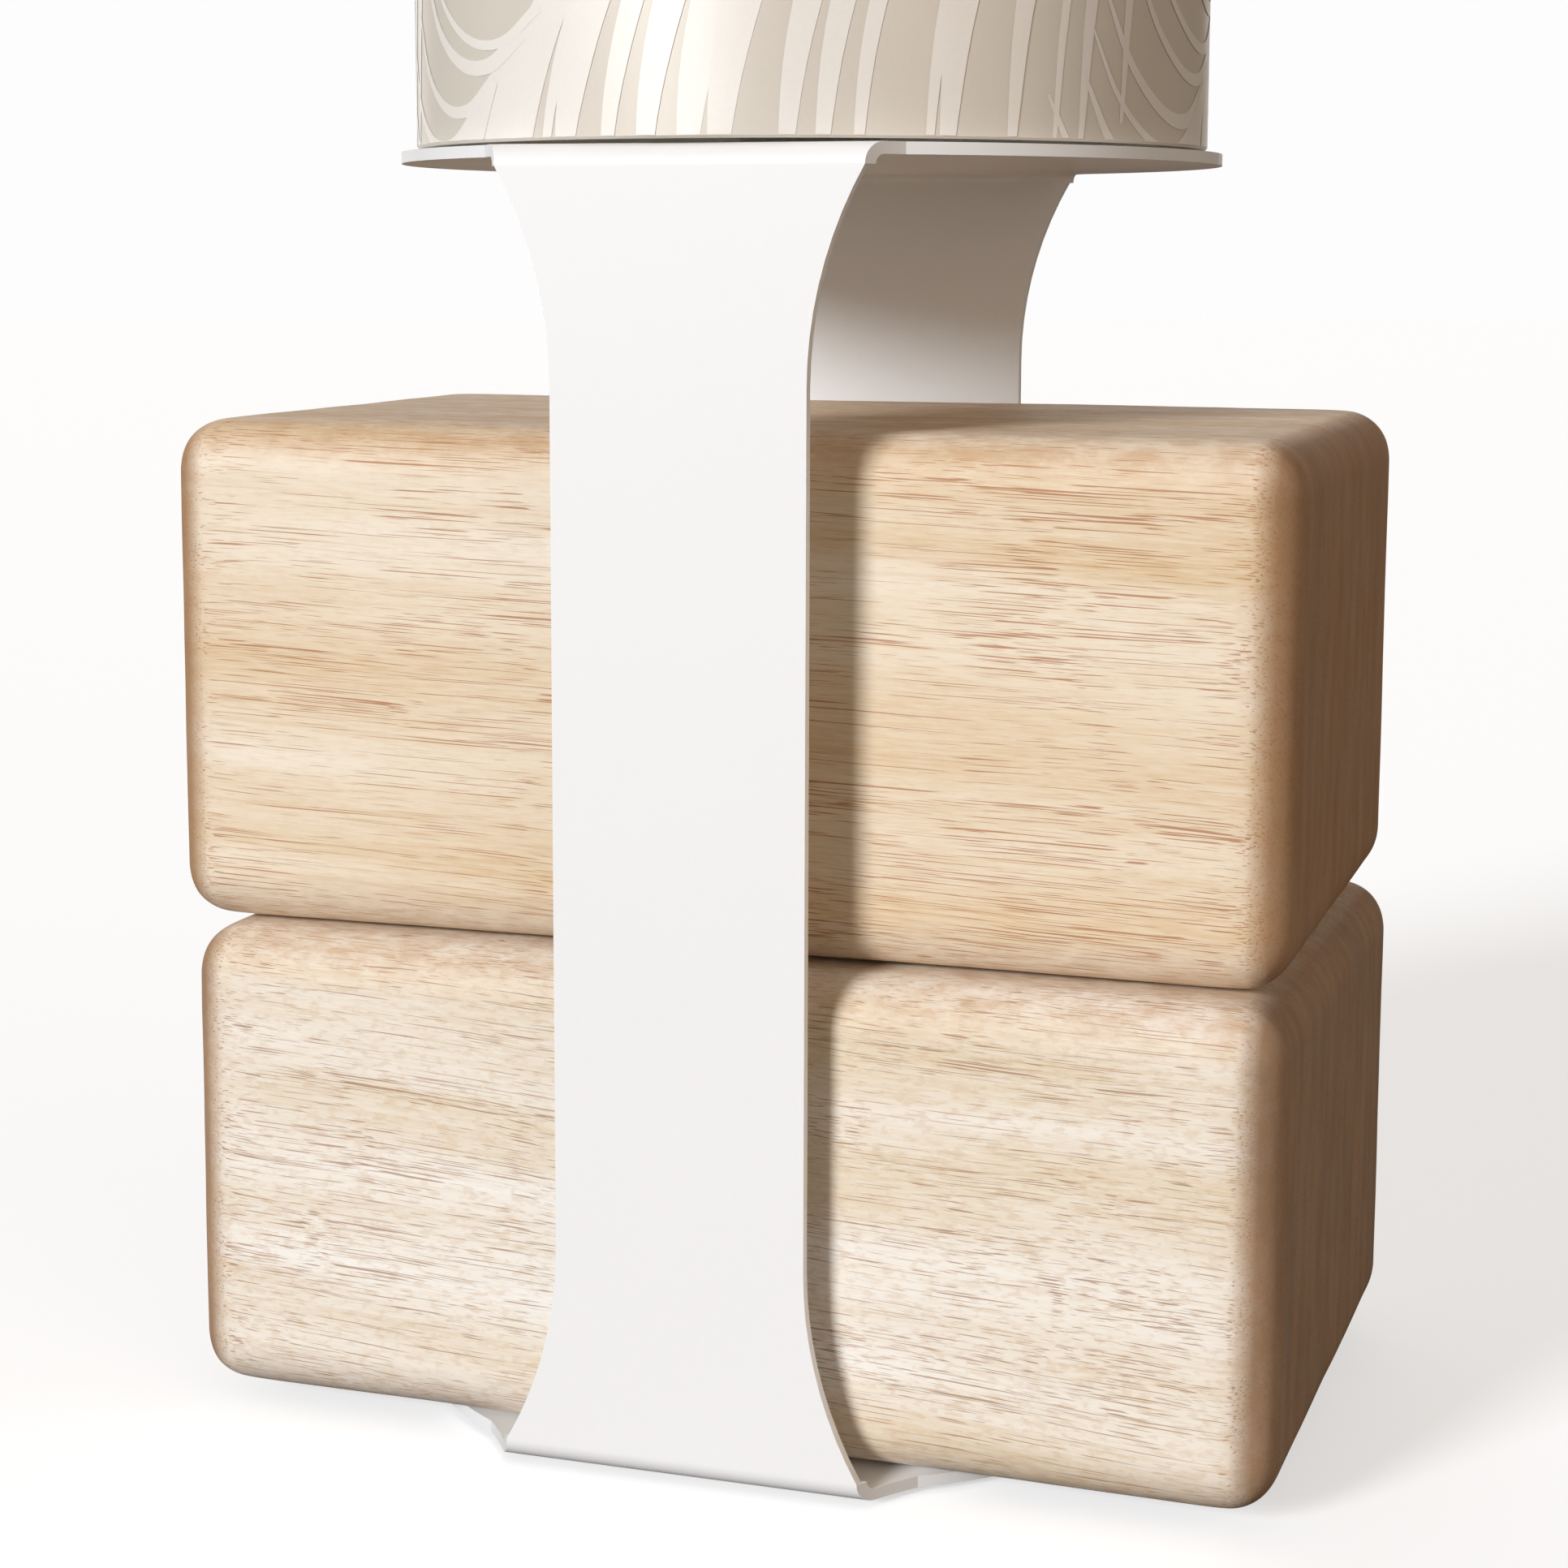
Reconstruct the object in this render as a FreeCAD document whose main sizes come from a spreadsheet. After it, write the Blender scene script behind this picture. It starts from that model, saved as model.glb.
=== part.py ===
import FreeCAD, Part
import math
import os
import Sketcher

# Table lamp: a folded steel strap frame that holds two stacked wooden blocks and carries a
# drum shade on its round top plate. Millimetres. The lamp stands on z = 0, +Z is up, the two
# legs of the strap stand at -Y (front) and +Y (rear), and the blocks lie along X.
# The origin is the middle of the felt under the base.

os.makedirs("parts", exist_ok=True)
doc = FreeCAD.newDocument("table_lamp")

SIZES = [
    ("felt_thickness", 1.5, "felt disc glued under the base"),
    ("felt_diameter", 150, ""),
    ("sheet_thickness", 2.5, "steel sheet of the strap frame"),
    ("frame_height", 279, "underside of the base to the top of the top plate"),
    ("frame_depth", 178, "between the outer faces of the two legs"),
    ("bend_radius", 4.5, "outside of each fold"),
    ("waist_width", 55, "the leg between its flares"),
    ("flare_radius", 88, "arc by which a leg widens into a plate"),
    ("flare_length", 48.5, "from the outer face of a plate down to where the leg starts to widen"),
    ("strip_width", 120, "blank of the strap before its flares are cut, inside the plates' circles"),
    ("top_plate_overhang", 3, "round top plate beyond the outer face of each leg"),
    ("base_plate_overhang", 1, "round base plate beyond the outer face of each leg"),
    ("upper_block_length", 250, ""),
    ("upper_block_depth", 148, ""),
    ("upper_block_height", 112, ""),
    ("upper_block_x", -1.4, "as it was pushed into the strap"),
    ("upper_block_y", 0.6, ""),
    ("lower_block_length", 245.7, ""),
    ("lower_block_depth", 151, ""),
    ("lower_block_height", 106.6, ""),
    ("lower_block_x", 2.5, ""),
    ("lower_block_y", -4.9, ""),
    ("lower_block_twist", 0.9, "degrees, clockwise from above"),
    ("block_edge_radius", 11.3, "sanded round along every edge"),
    ("shade_diameter", 177, ""),
    ("shade_height", 200, ""),
    ("shade_gap", 0.8, "between the top plate and the shade's lower edge"),
    ("cover_thickness", 0.4, "printed paper of the shade"),
    ("liner_thickness", 0.5, "plastic sheet that the paper is laminated on"),
    ("hem_width", 4, "paper turned in under and over the wire rings"),
    ("wire_diameter", 3, "rings and spokes of the shade"),
    ("glue_gap", 0.1, "glue between the wire rings and the liner"),
    ("fitter_height", 26, "top plate to the seat of the shade on the lampholder"),
    ("fitter_diameter", 56, "washer in the middle of the shade's spider"),
    ("fitter_hole", 41.2, ""),
    ("fitter_thickness", 1.5, ""),
    ("spoke_tip", 4, "end of each spoke, welded under and onto the washer"),
    ("spoke_drop", 2, "how far a spoke's end reaches below the washer"),
    ("nut_height", 9, "ring nut that clamps the shade"),
    ("nut_diameter", 52, ""),
    ("nut_flange_height", 2, ""),
    ("nut_flange_width", 1.5, ""),
    ("nut_bevel", 1, ""),
    ("nut_clearance", 0.3, "between the ring nut and the lampholder's thread"),
    ("grip_diameter", 5, "grip notches round the ring nut"),
    ("collar_diameter", 39.4, "threaded outside of the lampholder's barrel"),
    ("collar_spare", 4, "thread above the ring nut"),
    ("thread_depth", 1, ""),
    ("barrel_length", 36, "lampholder's barrel above its cap"),
    ("barrel_spigot", 6, "barrel's lower end inside the cap"),
    ("barrel_bore", 30.8, ""),
    ("barrel_mouth", 28.8, "lip that keeps the screw shell in"),
    ("seat_diameter", 47, "flange that the shade sits on"),
    ("seat_thickness", 2, ""),
    ("cap_diameter", 38, "lampholder's lower cap"),
    ("cap_height", 20, ""),
    ("cap_wall", 1.8, ""),
    ("cap_foot", 5, "flat of the cap round its washer"),
    ("cap_shoulder", 6, "height over which the cap widens"),
    ("fit_gap", 0.3, "easy fit between pieces that are put together by hand"),
    ("nipple_diameter", 9.8, "hollow threaded tube through the top plate"),
    ("nipple_bore", 7.8, ""),
    ("nipple_length", 18, ""),
    ("nipple_stub", 7.5, "nipple below the top of the top plate"),
    ("washer_thickness", 0.8, ""),
    ("washer_diameter", 16, ""),
    ("locknut_flats", 14, ""),
    ("locknut_height", 3, ""),
    ("bush_flange", 12, "plastic bush that guards the cord in the nipple"),
    ("bush_flange_height", 1.2, ""),
    ("bush_length", 6, ""),
    ("bush_bore", 6.6, "hole that the mains cord leaves through"),
    ("bush_play", 0.1, ""),
    ("tag_width", 6, "earth tag under the lampholder"),
    ("tag_reach", 17, ""),
    ("carrier_height", 12, "insulating body that carries the contacts"),
    ("shell_diameter", 27.8, "screw shell, outside"),
    ("shell_wall", 0.4, ""),
    ("shell_height", 25.5, ""),
    ("shell_hole", 18, "hole in the floor of the screw shell"),
    ("contact_width", 5, "spring contact in the middle of the lampholder"),
    ("contact_thickness", 0.5, ""),
    ("contact_rise", 2.5, ""),
    ("contact_foot", 7, ""),
    ("terminal_width", 6, "brass terminal blocks"),
    ("terminal_depth", 7, ""),
    ("terminal_height", 5.5, ""),
    ("terminal_spread", 15, "between the middles of the two terminals"),
    ("terminal_screw", 3, ""),
    ("terminal_head", 4.4, ""),
    ("terminal_head_height", 1.6, ""),
    ("bulb_cap_diameter", 26.2, "screw cap of the bulb"),
    ("bulb_cap_wall", 0.5, ""),
    ("bulb_cap_height", 20, ""),
    ("bulb_tip_diameter", 9, "solder contact of the bulb"),
    ("bulb_tip_height", 1.5, ""),
    ("bulb_tip_bevel", 1, ""),
    ("bulb_foot_height", 4.5, "glass insulator between tip and cap"),
    ("bulb_diameter", 37, ""),
    ("bulb_body_height", 31, "plastic body of the bulb"),
    ("bulb_neck_height", 4, ""),
    ("bulb_neck_flare", 1, ""),
    ("bulb_rim_height", 8, "straight part under the globe"),
    ("bulb_wall", 1.4, ""),
    ("bulb_globe_height", 45, ""),
    ("led_board_thickness", 1.2, ""),
    ("led_size", 3, ""),
    ("led_circle", 18, ""),
    ("driver_width", 12, "circuit board inside the bulb"),
    ("driver_thickness", 1.6, ""),
    ("driver_gap", 2, "between the driver board and the bulb's foot"),
]
SPOKES = 3
NUT_GRIPS = 12
NUT_SIDES = 6
LEDS = 6
sheet = doc.addObject("Spreadsheet::Sheet", "Sizes")
for row, (alias, value, note) in enumerate(SIZES, start=1):
    sheet.set(f"A{row}", alias)
    sheet.set(f"B{row}", str(value))
    sheet.set(f"C{row}", note)
    sheet.setAlias(f"B{row}", alias)
doc.recompute()

parts = {}
UP = FreeCAD.Vector(0, 0, 1)


def value(formula):
    """The number that a formula of the sheet's sizes comes to, for a sketch's first shape."""
    return float(sheet.evalExpression(str(formula)))


# Levels, each a formula of the sheet's sizes.
base_bottom = "Sizes.felt_thickness"
base_top = f"({base_bottom} + Sizes.sheet_thickness)"
plate_top = f"({base_bottom} + Sizes.frame_height)"
plate_bottom = f"({plate_top} - Sizes.sheet_thickness)"
lower_block_top = f"({base_top} + Sizes.lower_block_height)"
shade_bottom = f"({plate_top} + Sizes.shade_gap)"
shade_top = f"({shade_bottom} + Sizes.shade_height)"
ring_level = f"({shade_bottom} + Sizes.cover_thickness + Sizes.glue_gap + Sizes.wire_diameter / 2)"
fitter_seat = f"({plate_top} + Sizes.fitter_height)"
fitter_top = f"({fitter_seat} + Sizes.fitter_thickness)"
cap_bottom = f"({plate_top} + Sizes.washer_thickness)"
cap_floor = f"({cap_bottom} + Sizes.cap_wall)"
cap_top = f"({plate_top} + Sizes.cap_height)"
barrel_top = f"({cap_top} + Sizes.barrel_length)"
mouth_bottom = f"({barrel_top} - Sizes.cap_wall)"
shell_bottom = f"({mouth_bottom} - Sizes.fit_gap - Sizes.shell_height)"
carrier_bottom = f"({shell_bottom} - Sizes.carrier_height)"
contact_top = f"({shell_bottom} + Sizes.contact_rise + Sizes.contact_thickness)"
tip_bottom = f"({contact_top} + Sizes.fit_gap)"
foot_bottom = f"({tip_bottom} + Sizes.bulb_tip_height)"
bulb_cap_bottom = f"({foot_bottom} + Sizes.bulb_foot_height)"
bulb_body_bottom = f"({bulb_cap_bottom} + Sizes.bulb_cap_height)"
bulb_body_top = f"({bulb_body_bottom} + Sizes.bulb_body_height)"
nipple_bottom = f"({plate_top} - Sizes.nipple_stub)"


def plane_of(body, role):
    return next(f for f in body.Origin.OriginFeatures if f.Role == role)


def new_body(name):
    return doc.addObject("PartDesign::Body", name)


def pin(sketch, geometry, end, corner):
    """Ties one end of a sketch's line to a pair of formulas."""
    for kind, formula in zip(("DistanceX", "DistanceY"), corner):
        rule = Sketcher.Constraint(kind, -1, 1, geometry, end, value(formula))
        sketch.setExpression(f"Constraints[{sketch.addConstraint(rule)}]", str(formula))


def drawn(body, role, corners, arcs=None, level=None):
    """A closed sketch on one of the body's planes, from pairs of formulas. arcs gives the side that
    starts at a corner a radius, positive where the side bulges to the right of its way round."""
    sketch = body.newObject("Sketcher::SketchObject", "Outline")
    sketch.AttachmentSupport = [(plane_of(body, role), "")]
    sketch.MapMode = "FlatFace"
    if level:
        sketch.setExpression("AttachmentOffset.Base.z", level)
    arcs = arcs or {}
    points = [FreeCAD.Vector(value(x), value(y), 0) for x, y in corners]
    for i, start in enumerate(points):
        end = points[(i + 1) % len(points)]
        if i in arcs:
            sketch.addGeometry(arc_side(start, end, value(arcs[i])), False)
        else:
            sketch.addGeometry(Part.LineSegment(start, end), False)
    starts = [1 if (sketch.getPoint(i, 1) - p).Length < 0.001 else 2 for i, p in enumerate(points)]
    for i, corner in enumerate(corners):
        before = i - 1 if i else len(corners) - 1
        join = Sketcher.Constraint("Coincident", before, 3 - starts[before], i, starts[i])
        sketch.addConstraint(join)
        pin(sketch, i, starts[i], corner)
    for i, radius in arcs.items():
        rule = Sketcher.Constraint("Radius", i, abs(value(radius)))
        sketch.setExpression(f"Constraints[{sketch.addConstraint(rule)}]", f"abs({radius})")
    return sketch


def arc_side(start, end, radius):
    """The shorter arc between two points; a positive radius bulges it to the right of the way."""
    way = end - start
    right = FreeCAD.Vector(way.y, -way.x, 0).normalize()
    depth = abs(radius) - math.sqrt(radius**2 - (way.Length / 2) ** 2)
    return Part.Arc(start, (start + end) * 0.5 + right * math.copysign(depth, radius), end)


def ringed(body, rim, centre_x="0", centre_y="0", role="XY_Plane", level=None):
    """A sketch of one circle on one of the body's planes."""
    sketch = body.newObject("Sketcher::SketchObject", "Circle")
    sketch.AttachmentSupport = [(plane_of(body, role), "")]
    sketch.MapMode = "FlatFace"
    if level:
        sketch.setExpression("AttachmentOffset.Base.z", level)
    middle = FreeCAD.Vector(value(centre_x), value(centre_y), 0)
    sketch.addGeometry(Part.Circle(middle, UP, value(rim) / 2), False)
    pin(sketch, 0, 3, (centre_x, centre_y))
    rule = Sketcher.Constraint("Diameter", 0, value(rim))
    sketch.setExpression(f"Constraints[{sketch.addConstraint(rule)}]", str(rim))
    return sketch


def pad(body, sketch, length, both_ways=False):
    made = body.newObject("PartDesign::Pad", "Pad")
    made.Profile = sketch
    made.setExpression("Length", length)
    made.Midplane = both_ways
    doc.recompute()
    return made


def pocket(body, sketch, depth=None, backwards=False):
    """Cuts a sketch out, right through both ways where no depth is given, and checks that it cut."""
    before = body.Shape.Volume
    made = body.newObject("PartDesign::Pocket", "Pocket")
    made.Profile = sketch
    if depth:
        made.Type = "Length"
        made.setExpression("Length", depth)
        made.Reversed = backwards
    else:
        made.Type = "ThroughAll"
        made.Midplane = True
    doc.recompute()
    if not body.Shape.Volume < before - 0.001:
        raise RuntimeError(f"a pocket of {body.Label} cut nothing")
    return made


def turn(body, sketch):
    """Revolves a sketch on the body's XZ plane round Z."""
    made = body.newObject("PartDesign::Revolution", "Revolution")
    made.Profile = sketch
    made.ReferenceAxis = (sketch, ["V_Axis"])
    made.Angle = 360
    doc.recompute()
    return made


def rounded(body, base, radius, wanted):
    """Fillets the edges of a feature that wanted() picks."""
    names = [f"Edge{i}" for i, e in enumerate(base.Shape.Edges, start=1) if wanted(e)]
    made = body.newObject("PartDesign::Fillet", "Fillet")
    made.Base = (base, names)
    made.setExpression("Radius", radius)
    doc.recompute()
    return made


def around(body, feature, count):
    made = body.newObject("PartDesign::PolarPattern", "PolarPattern")
    made.Originals = [feature]
    made.Axis = (plane_of(body, "Z_Axis"), [""])
    made.Angle = 360
    made.Occurrences = count
    body.Tip = made
    doc.recompute()
    return made


def turned(name, corners, arcs=None):
    """A piece turned round Z from (radius, height) formulas."""
    body = new_body(name)
    turn(body, drawn(body, "XZ_Plane", corners, arcs))
    parts[name] = body
    return body


def tube_corners(inner, outer, low, high):
    """(radius, height) corners of a ring's wall, from its diameters."""
    inside, outside = f"{inner} / 2", f"{outer} / 2"
    return [(inside, low), (outside, low), (outside, high), (inside, high)]


def ring_of(name, inner, outer, low, high):
    """A plain ring, from formulas of its diameters and levels."""
    turned(name, tube_corners(inner, outer, low, high))


def box_corners(length, width, middle_x="0", middle_y="0"):
    left, right = f"{middle_x} - {length} / 2", f"{middle_x} + {length} / 2"
    near, far = f"{middle_y} - {width} / 2", f"{middle_y} + {width} / 2"
    return [(left, near), (right, near), (right, far), (left, far)]


def group(name, members):
    """One node of several separate solids."""
    made = doc.addObject("Part::Compound", name)
    made.Links = members
    parts[name] = made


# The strap: one steel sheet, cut out and folded into a closed loop, its seam welded and ground
# flush under the blocks. A band as wide as the blank is padded along X, the legs are narrowed
# to their waists and flares, the flares run on over the folds, and the round plates are added.
def folded_loop(half_depth, low, high):
    return [(f"-{half_depth}", low), (half_depth, low), (half_depth, high), (f"-{half_depth}", high)]


def is_fold(edge, half_depth, levels):
    """True for an edge along X where a leg meets a plate."""
    middle = edge.CenterOfMass
    if abs(edge.tangentAt(edge.FirstParameter).x) < 0.99:
        return False
    return abs(abs(middle.y) - half_depth) < 0.01 and min(abs(middle.z - z) for z in levels) < 0.01


def strap_frame():
    body = new_body("strap_frame")
    outer = "(Sizes.frame_depth / 2)"
    inner = "(Sizes.frame_depth / 2 - Sizes.sheet_thickness)"
    outline = drawn(body, "YZ_Plane", folded_loop(outer, base_bottom, plate_top))
    band = pad(body, outline, "Sizes.strip_width", True)
    levels = (value(base_bottom), value(plate_top))
    rounded(body, band, "Sizes.bend_radius", lambda e: is_fold(e, value(outer), levels))
    outline = drawn(body, "YZ_Plane", folded_loop(inner, base_top, plate_bottom))
    hollow = pocket(body, outline)
    levels = (value(base_top), value(plate_bottom))
    inner_radius = "Sizes.bend_radius - Sizes.sheet_thickness"
    rounded(body, hollow, inner_radius, lambda e: is_fold(e, value(inner), levels))

    waist = "Sizes.waist_width / 2"
    blank = "(Sizes.strip_width / 2 + 1)"
    fold_low = f"({base_bottom} + Sizes.bend_radius)"
    fold_high = f"({plate_top} - Sizes.bend_radius)"
    waist_low = f"({base_bottom} + Sizes.flare_length)"
    waist_high = f"({plate_top} - Sizes.flare_length)"
    run = "(Sizes.flare_length - Sizes.bend_radius)"
    at_fold = f"({waist} + Sizes.flare_radius - sqrt(Sizes.flare_radius ^ 2 - {run} ^ 2))"
    for side, bulge in (("", "-Sizes.flare_radius"), ("-", "Sizes.flare_radius")):
        beside_leg = [(f"{side}({waist})", waist_low), (f"{side}({waist})", waist_high)]
        beside_leg += [(f"{side}{at_fold}", fold_high), (f"{side}{blank}", fold_high)]
        beside_leg += [(f"{side}{blank}", fold_low), (f"{side}{at_fold}", fold_low)]
        pocket(body, drawn(body, "XZ_Plane", beside_leg, {1: bulge, 5: bulge}))

    flare_x = f"({waist} + Sizes.flare_radius)"
    flare_y = f"({outer} + {run})"
    for side_x in ("", "-"):
        for side_y in ("", "-"):
            middle = (f"{side_x}{flare_x}", f"{side_y}{flare_y}")
            cut = ringed(body, "2 * Sizes.flare_radius", *middle, level=plate_top)
            pocket(body, cut, "Sizes.bend_radius")
            cut = ringed(body, "2 * Sizes.flare_radius", *middle, level=base_bottom)
            pocket(body, cut, "Sizes.bend_radius", True)

    chord = f"({outer} - Sizes.bend_radius)"
    plates = (("Sizes.top_plate_overhang", plate_bottom), ("Sizes.base_plate_overhang", base_bottom))
    for overhang, level in plates:
        rim = f"({outer} + {overhang})"
        half_chord = f"sqrt({rim} ^ 2 - {chord} ^ 2)"
        disc = [(f"-{half_chord}", f"-{chord}"), (half_chord, f"-{chord}")]
        disc += [(half_chord, chord), (f"-{half_chord}", chord)]
        round_sides = {1: rim, 3: rim}
        pad(body, drawn(body, "XY_Plane", disc, round_sides, level), "Sizes.sheet_thickness")
    hole = ringed(body, "Sizes.nipple_diameter + 2 * Sizes.fit_gap", level=plate_top)
    pocket(body, hole, "Sizes.sheet_thickness")
    parts["strap_frame"] = body


# Wooden blocks, sanded round along every edge, lying loose in the strap.
def block(name, stands_on, twist):
    body = new_body(name)
    outline = drawn(body, "XY_Plane", box_corners(f"Sizes.{name}_length", f"Sizes.{name}_depth"))
    plain = pad(body, outline, f"Sizes.{name}_height")
    rounded(body, plain, "Sizes.block_edge_radius", lambda e: True)
    body.Placement = FreeCAD.Placement(FreeCAD.Vector(), FreeCAD.Rotation(-UP, value(twist)))
    body.setExpression("Placement.Rotation.Angle", twist)
    body.setExpression("Placement.Base.x", f"Sizes.{name}_x")
    body.setExpression("Placement.Base.y", f"Sizes.{name}_y")
    body.setExpression("Placement.Base.z", stands_on)
    parts[name] = body


# The drum shade: printed paper laminated on a plastic sheet, rolled into a drum and turned in
# over two wire rings. The lower ring carries a spider with the washer that sits on the holder.
def shade():
    skin = "(Sizes.shade_diameter / 2)"
    inside = f"({skin} - Sizes.cover_thickness)"
    hem = f"({skin} - Sizes.hem_width)"
    low = f"({shade_bottom} + Sizes.cover_thickness)"
    high = f"({shade_top} - Sizes.cover_thickness)"
    cover = [(hem, shade_bottom), (skin, shade_bottom), (skin, shade_top), (hem, shade_top)]
    cover += [(hem, high), (inside, high), (inside, low), (hem, low)]
    turned("shade_cover", cover)
    liner_bore = f"(2 * {inside} - 2 * Sizes.liner_thickness)"
    ring_of("shade_liner", liner_bore, f"2 * {inside}", low, high)
    ring_path = f"({liner_bore} - Sizes.wire_diameter - 2 * Sizes.glue_gap)"
    upper_ring_level = f"({shade_top} - ({ring_level} - {shade_bottom}))"
    wire_ring(new_body("shade_top_ring"), ring_path, upper_ring_level)
    shade_spider(ring_path)


def wire_ring(body, path, level):
    """A ring of round wire, closed in two half turns of one circle round Z."""
    turn(body, ringed(body, "Sizes.wire_diameter", f"{path} / 2", level, role="XZ_Plane"))
    parts[body.Label] = body


def shade_spider(ring_path):
    """Lower wire ring, three flat spokes and the washer, welded together."""
    body = new_body("shade_spider")
    wire_ring(body, ring_path, ring_level)
    wire, at_ring = "Sizes.wire_diameter", f"{ring_path} / 2"
    tip = "(Sizes.fitter_diameter / 2 - Sizes.spoke_tip / 4)"
    under = f"({fitter_seat} - Sizes.spoke_drop)"
    spoke = [(at_ring, f"({ring_level} - {wire} / 2)"), (at_ring, f"({ring_level} + {wire} / 2)")]
    spoke += [(f"({tip} + Sizes.spoke_tip)", fitter_top), (tip, fitter_top)]
    spoke += [(tip, under), (f"({tip} + 3 / 4 * Sizes.spoke_tip)", under)]
    arm = pad(body, drawn(body, "XZ_Plane", spoke), wire, True)
    around(body, arm, SPOKES)
    washer = tube_corners("Sizes.fitter_hole", "Sizes.fitter_diameter", fitter_seat, fitter_top)
    turn(body, drawn(body, "XZ_Plane", washer))
    parts["shade_spider"] = body


def shade_ring_nut():
    body = new_body("shade_ring_nut")
    bore = "(Sizes.collar_diameter / 2 + Sizes.nut_clearance)"
    flange, barrel = "Sizes.nut_diameter / 2", "(Sizes.nut_diameter / 2 - Sizes.nut_flange_width)"
    step, top = f"({fitter_top} + Sizes.nut_flange_height)", f"({fitter_top} + Sizes.nut_height)"
    corners = [(bore, fitter_top), (flange, fitter_top), (flange, step), (barrel, step)]
    corners += [(barrel, f"({top} - Sizes.nut_bevel)"), (f"({barrel} - Sizes.nut_bevel)", top)]
    turn(body, drawn(body, "XZ_Plane", corners + [(bore, top)]))
    place = f"({barrel} + Sizes.grip_diameter / 2 - Sizes.nut_bevel)"
    grip = ringed(body, "Sizes.grip_diameter", place, level=top)
    notch = pocket(body, grip, "Sizes.nut_height - Sizes.nut_flange_height")
    around(body, notch, NUT_GRIPS)
    parts["shade_ring_nut"] = body


# The lampholder, screwed to a hollow threaded nipple that goes through the top plate.
def hexagon_nut(name, level):
    body = new_body(name)
    corner = "(Sizes.locknut_flats / 2 / cos(30))"
    angles = [k * 360 / NUT_SIDES for k in range(NUT_SIDES)]
    corners = [(f"{corner} * cos({angle})", f"{corner} * sin({angle})") for angle in angles]
    pad(body, drawn(body, "XY_Plane", corners, level=level), "Sizes.locknut_height")
    top = f"({level} + Sizes.locknut_height)"
    bore = ringed(body, "Sizes.nipple_diameter + 2 * Sizes.bush_play", level=top)
    pocket(body, bore, "Sizes.locknut_height")
    parts[name] = body


def fixing():
    nipple_top = f"({nipple_bottom} + Sizes.nipple_length)"
    ring_of("threaded_nipple", "Sizes.nipple_bore", "Sizes.nipple_diameter", nipple_bottom, nipple_top)
    clear = "(Sizes.nipple_diameter + 2 * Sizes.fit_gap)"
    washer_bottom = f"({plate_bottom} - Sizes.washer_thickness)"
    ring_of("lower_washer", clear, "Sizes.washer_diameter", washer_bottom, plate_bottom)
    hexagon_nut("lower_locknut", f"({washer_bottom} - Sizes.locknut_height)")
    hexagon_nut("upper_locknut", cap_floor)
    stem = "(Sizes.nipple_bore / 2 - Sizes.bush_play)"
    bore, flange = "Sizes.bush_bore / 2", "Sizes.bush_flange / 2"
    bush_bottom = f"({nipple_bottom} - Sizes.bush_flange_height)"
    bush_top = f"({nipple_bottom} + Sizes.bush_length)"
    corners = [(bore, bush_bottom), (flange, bush_bottom), (flange, nipple_bottom)]
    corners += [(stem, nipple_bottom), (stem, bush_top), (bore, bush_top)]
    turned("cord_bush", corners)
    tag = new_body("earth_tag")
    pad(tag, ringed(tag, "Sizes.washer_diameter", level=plate_top), "Sizes.washer_thickness")
    tongue = box_corners("Sizes.tag_reach", "Sizes.tag_width", "Sizes.tag_reach / 2")
    pad(tag, drawn(tag, "XY_Plane", tongue, level=plate_top), "Sizes.washer_thickness")
    pocket(tag, ringed(tag, clear, level=cap_bottom), "Sizes.washer_thickness")
    parts["earth_tag"] = tag


def lampholder():
    wall, side = "Sizes.cap_wall", "Sizes.cap_diameter / 2"
    hole = "(Sizes.nipple_diameter / 2 + Sizes.fit_gap)"
    foot = "(Sizes.washer_diameter / 2 + Sizes.cap_foot)"
    shoulder = f"({cap_bottom} + Sizes.cap_shoulder)"
    cap = [(hole, cap_bottom), (foot, cap_bottom), (side, shoulder), (side, cap_top)]
    cap += [(f"({side} - {wall})", cap_top), (f"({side} - {wall})", f"({shoulder} + {wall} / 2)")]
    cap += [(f"({foot} - {wall} / 2)", cap_floor), (hole, cap_floor)]
    turned("holder_cap", cap)
    spigot = f"({side} - {wall} - Sizes.fit_gap)"
    bore, mouth = "Sizes.barrel_bore / 2", "Sizes.barrel_mouth / 2"
    thread, seat = "Sizes.collar_diameter / 2", "Sizes.seat_diameter / 2"
    seat_bottom = f"({fitter_seat} - Sizes.seat_thickness)"
    thread_top = f"({fitter_top} + Sizes.nut_height + Sizes.collar_spare)"
    root = f"({thread} - Sizes.thread_depth)"
    spigot_bottom = f"({cap_top} - Sizes.barrel_spigot)"
    barrel = [(bore, spigot_bottom), (spigot, spigot_bottom), (spigot, cap_top), (side, cap_top)]
    barrel += [(side, seat_bottom), (seat, seat_bottom), (seat, fitter_seat), (thread, fitter_seat)]
    barrel += [(thread, thread_top), (root, f"({thread_top} + Sizes.thread_depth)")]
    barrel += [(root, barrel_top), (mouth, barrel_top), (mouth, mouth_bottom), (bore, mouth_bottom)]
    turned("holder_barrel", barrel)
    ring_of("contact_carrier", "0", f"2 * ({bore} - Sizes.fit_gap)", carrier_bottom, shell_bottom)
    shell, shell_hole = "Sizes.shell_diameter / 2", "Sizes.shell_hole / 2"
    inner = f"({shell} - Sizes.shell_wall)"
    floor = f"({shell_bottom} + Sizes.shell_wall)"
    shell_top = f"({shell_bottom} + Sizes.shell_height)"
    corners = [(shell_hole, shell_bottom), (shell, shell_bottom), (shell, shell_top)]
    turned("screw_shell", corners + [(inner, shell_top), (inner, floor), (shell_hole, floor)])
    centre_contact()
    terminals()


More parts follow.
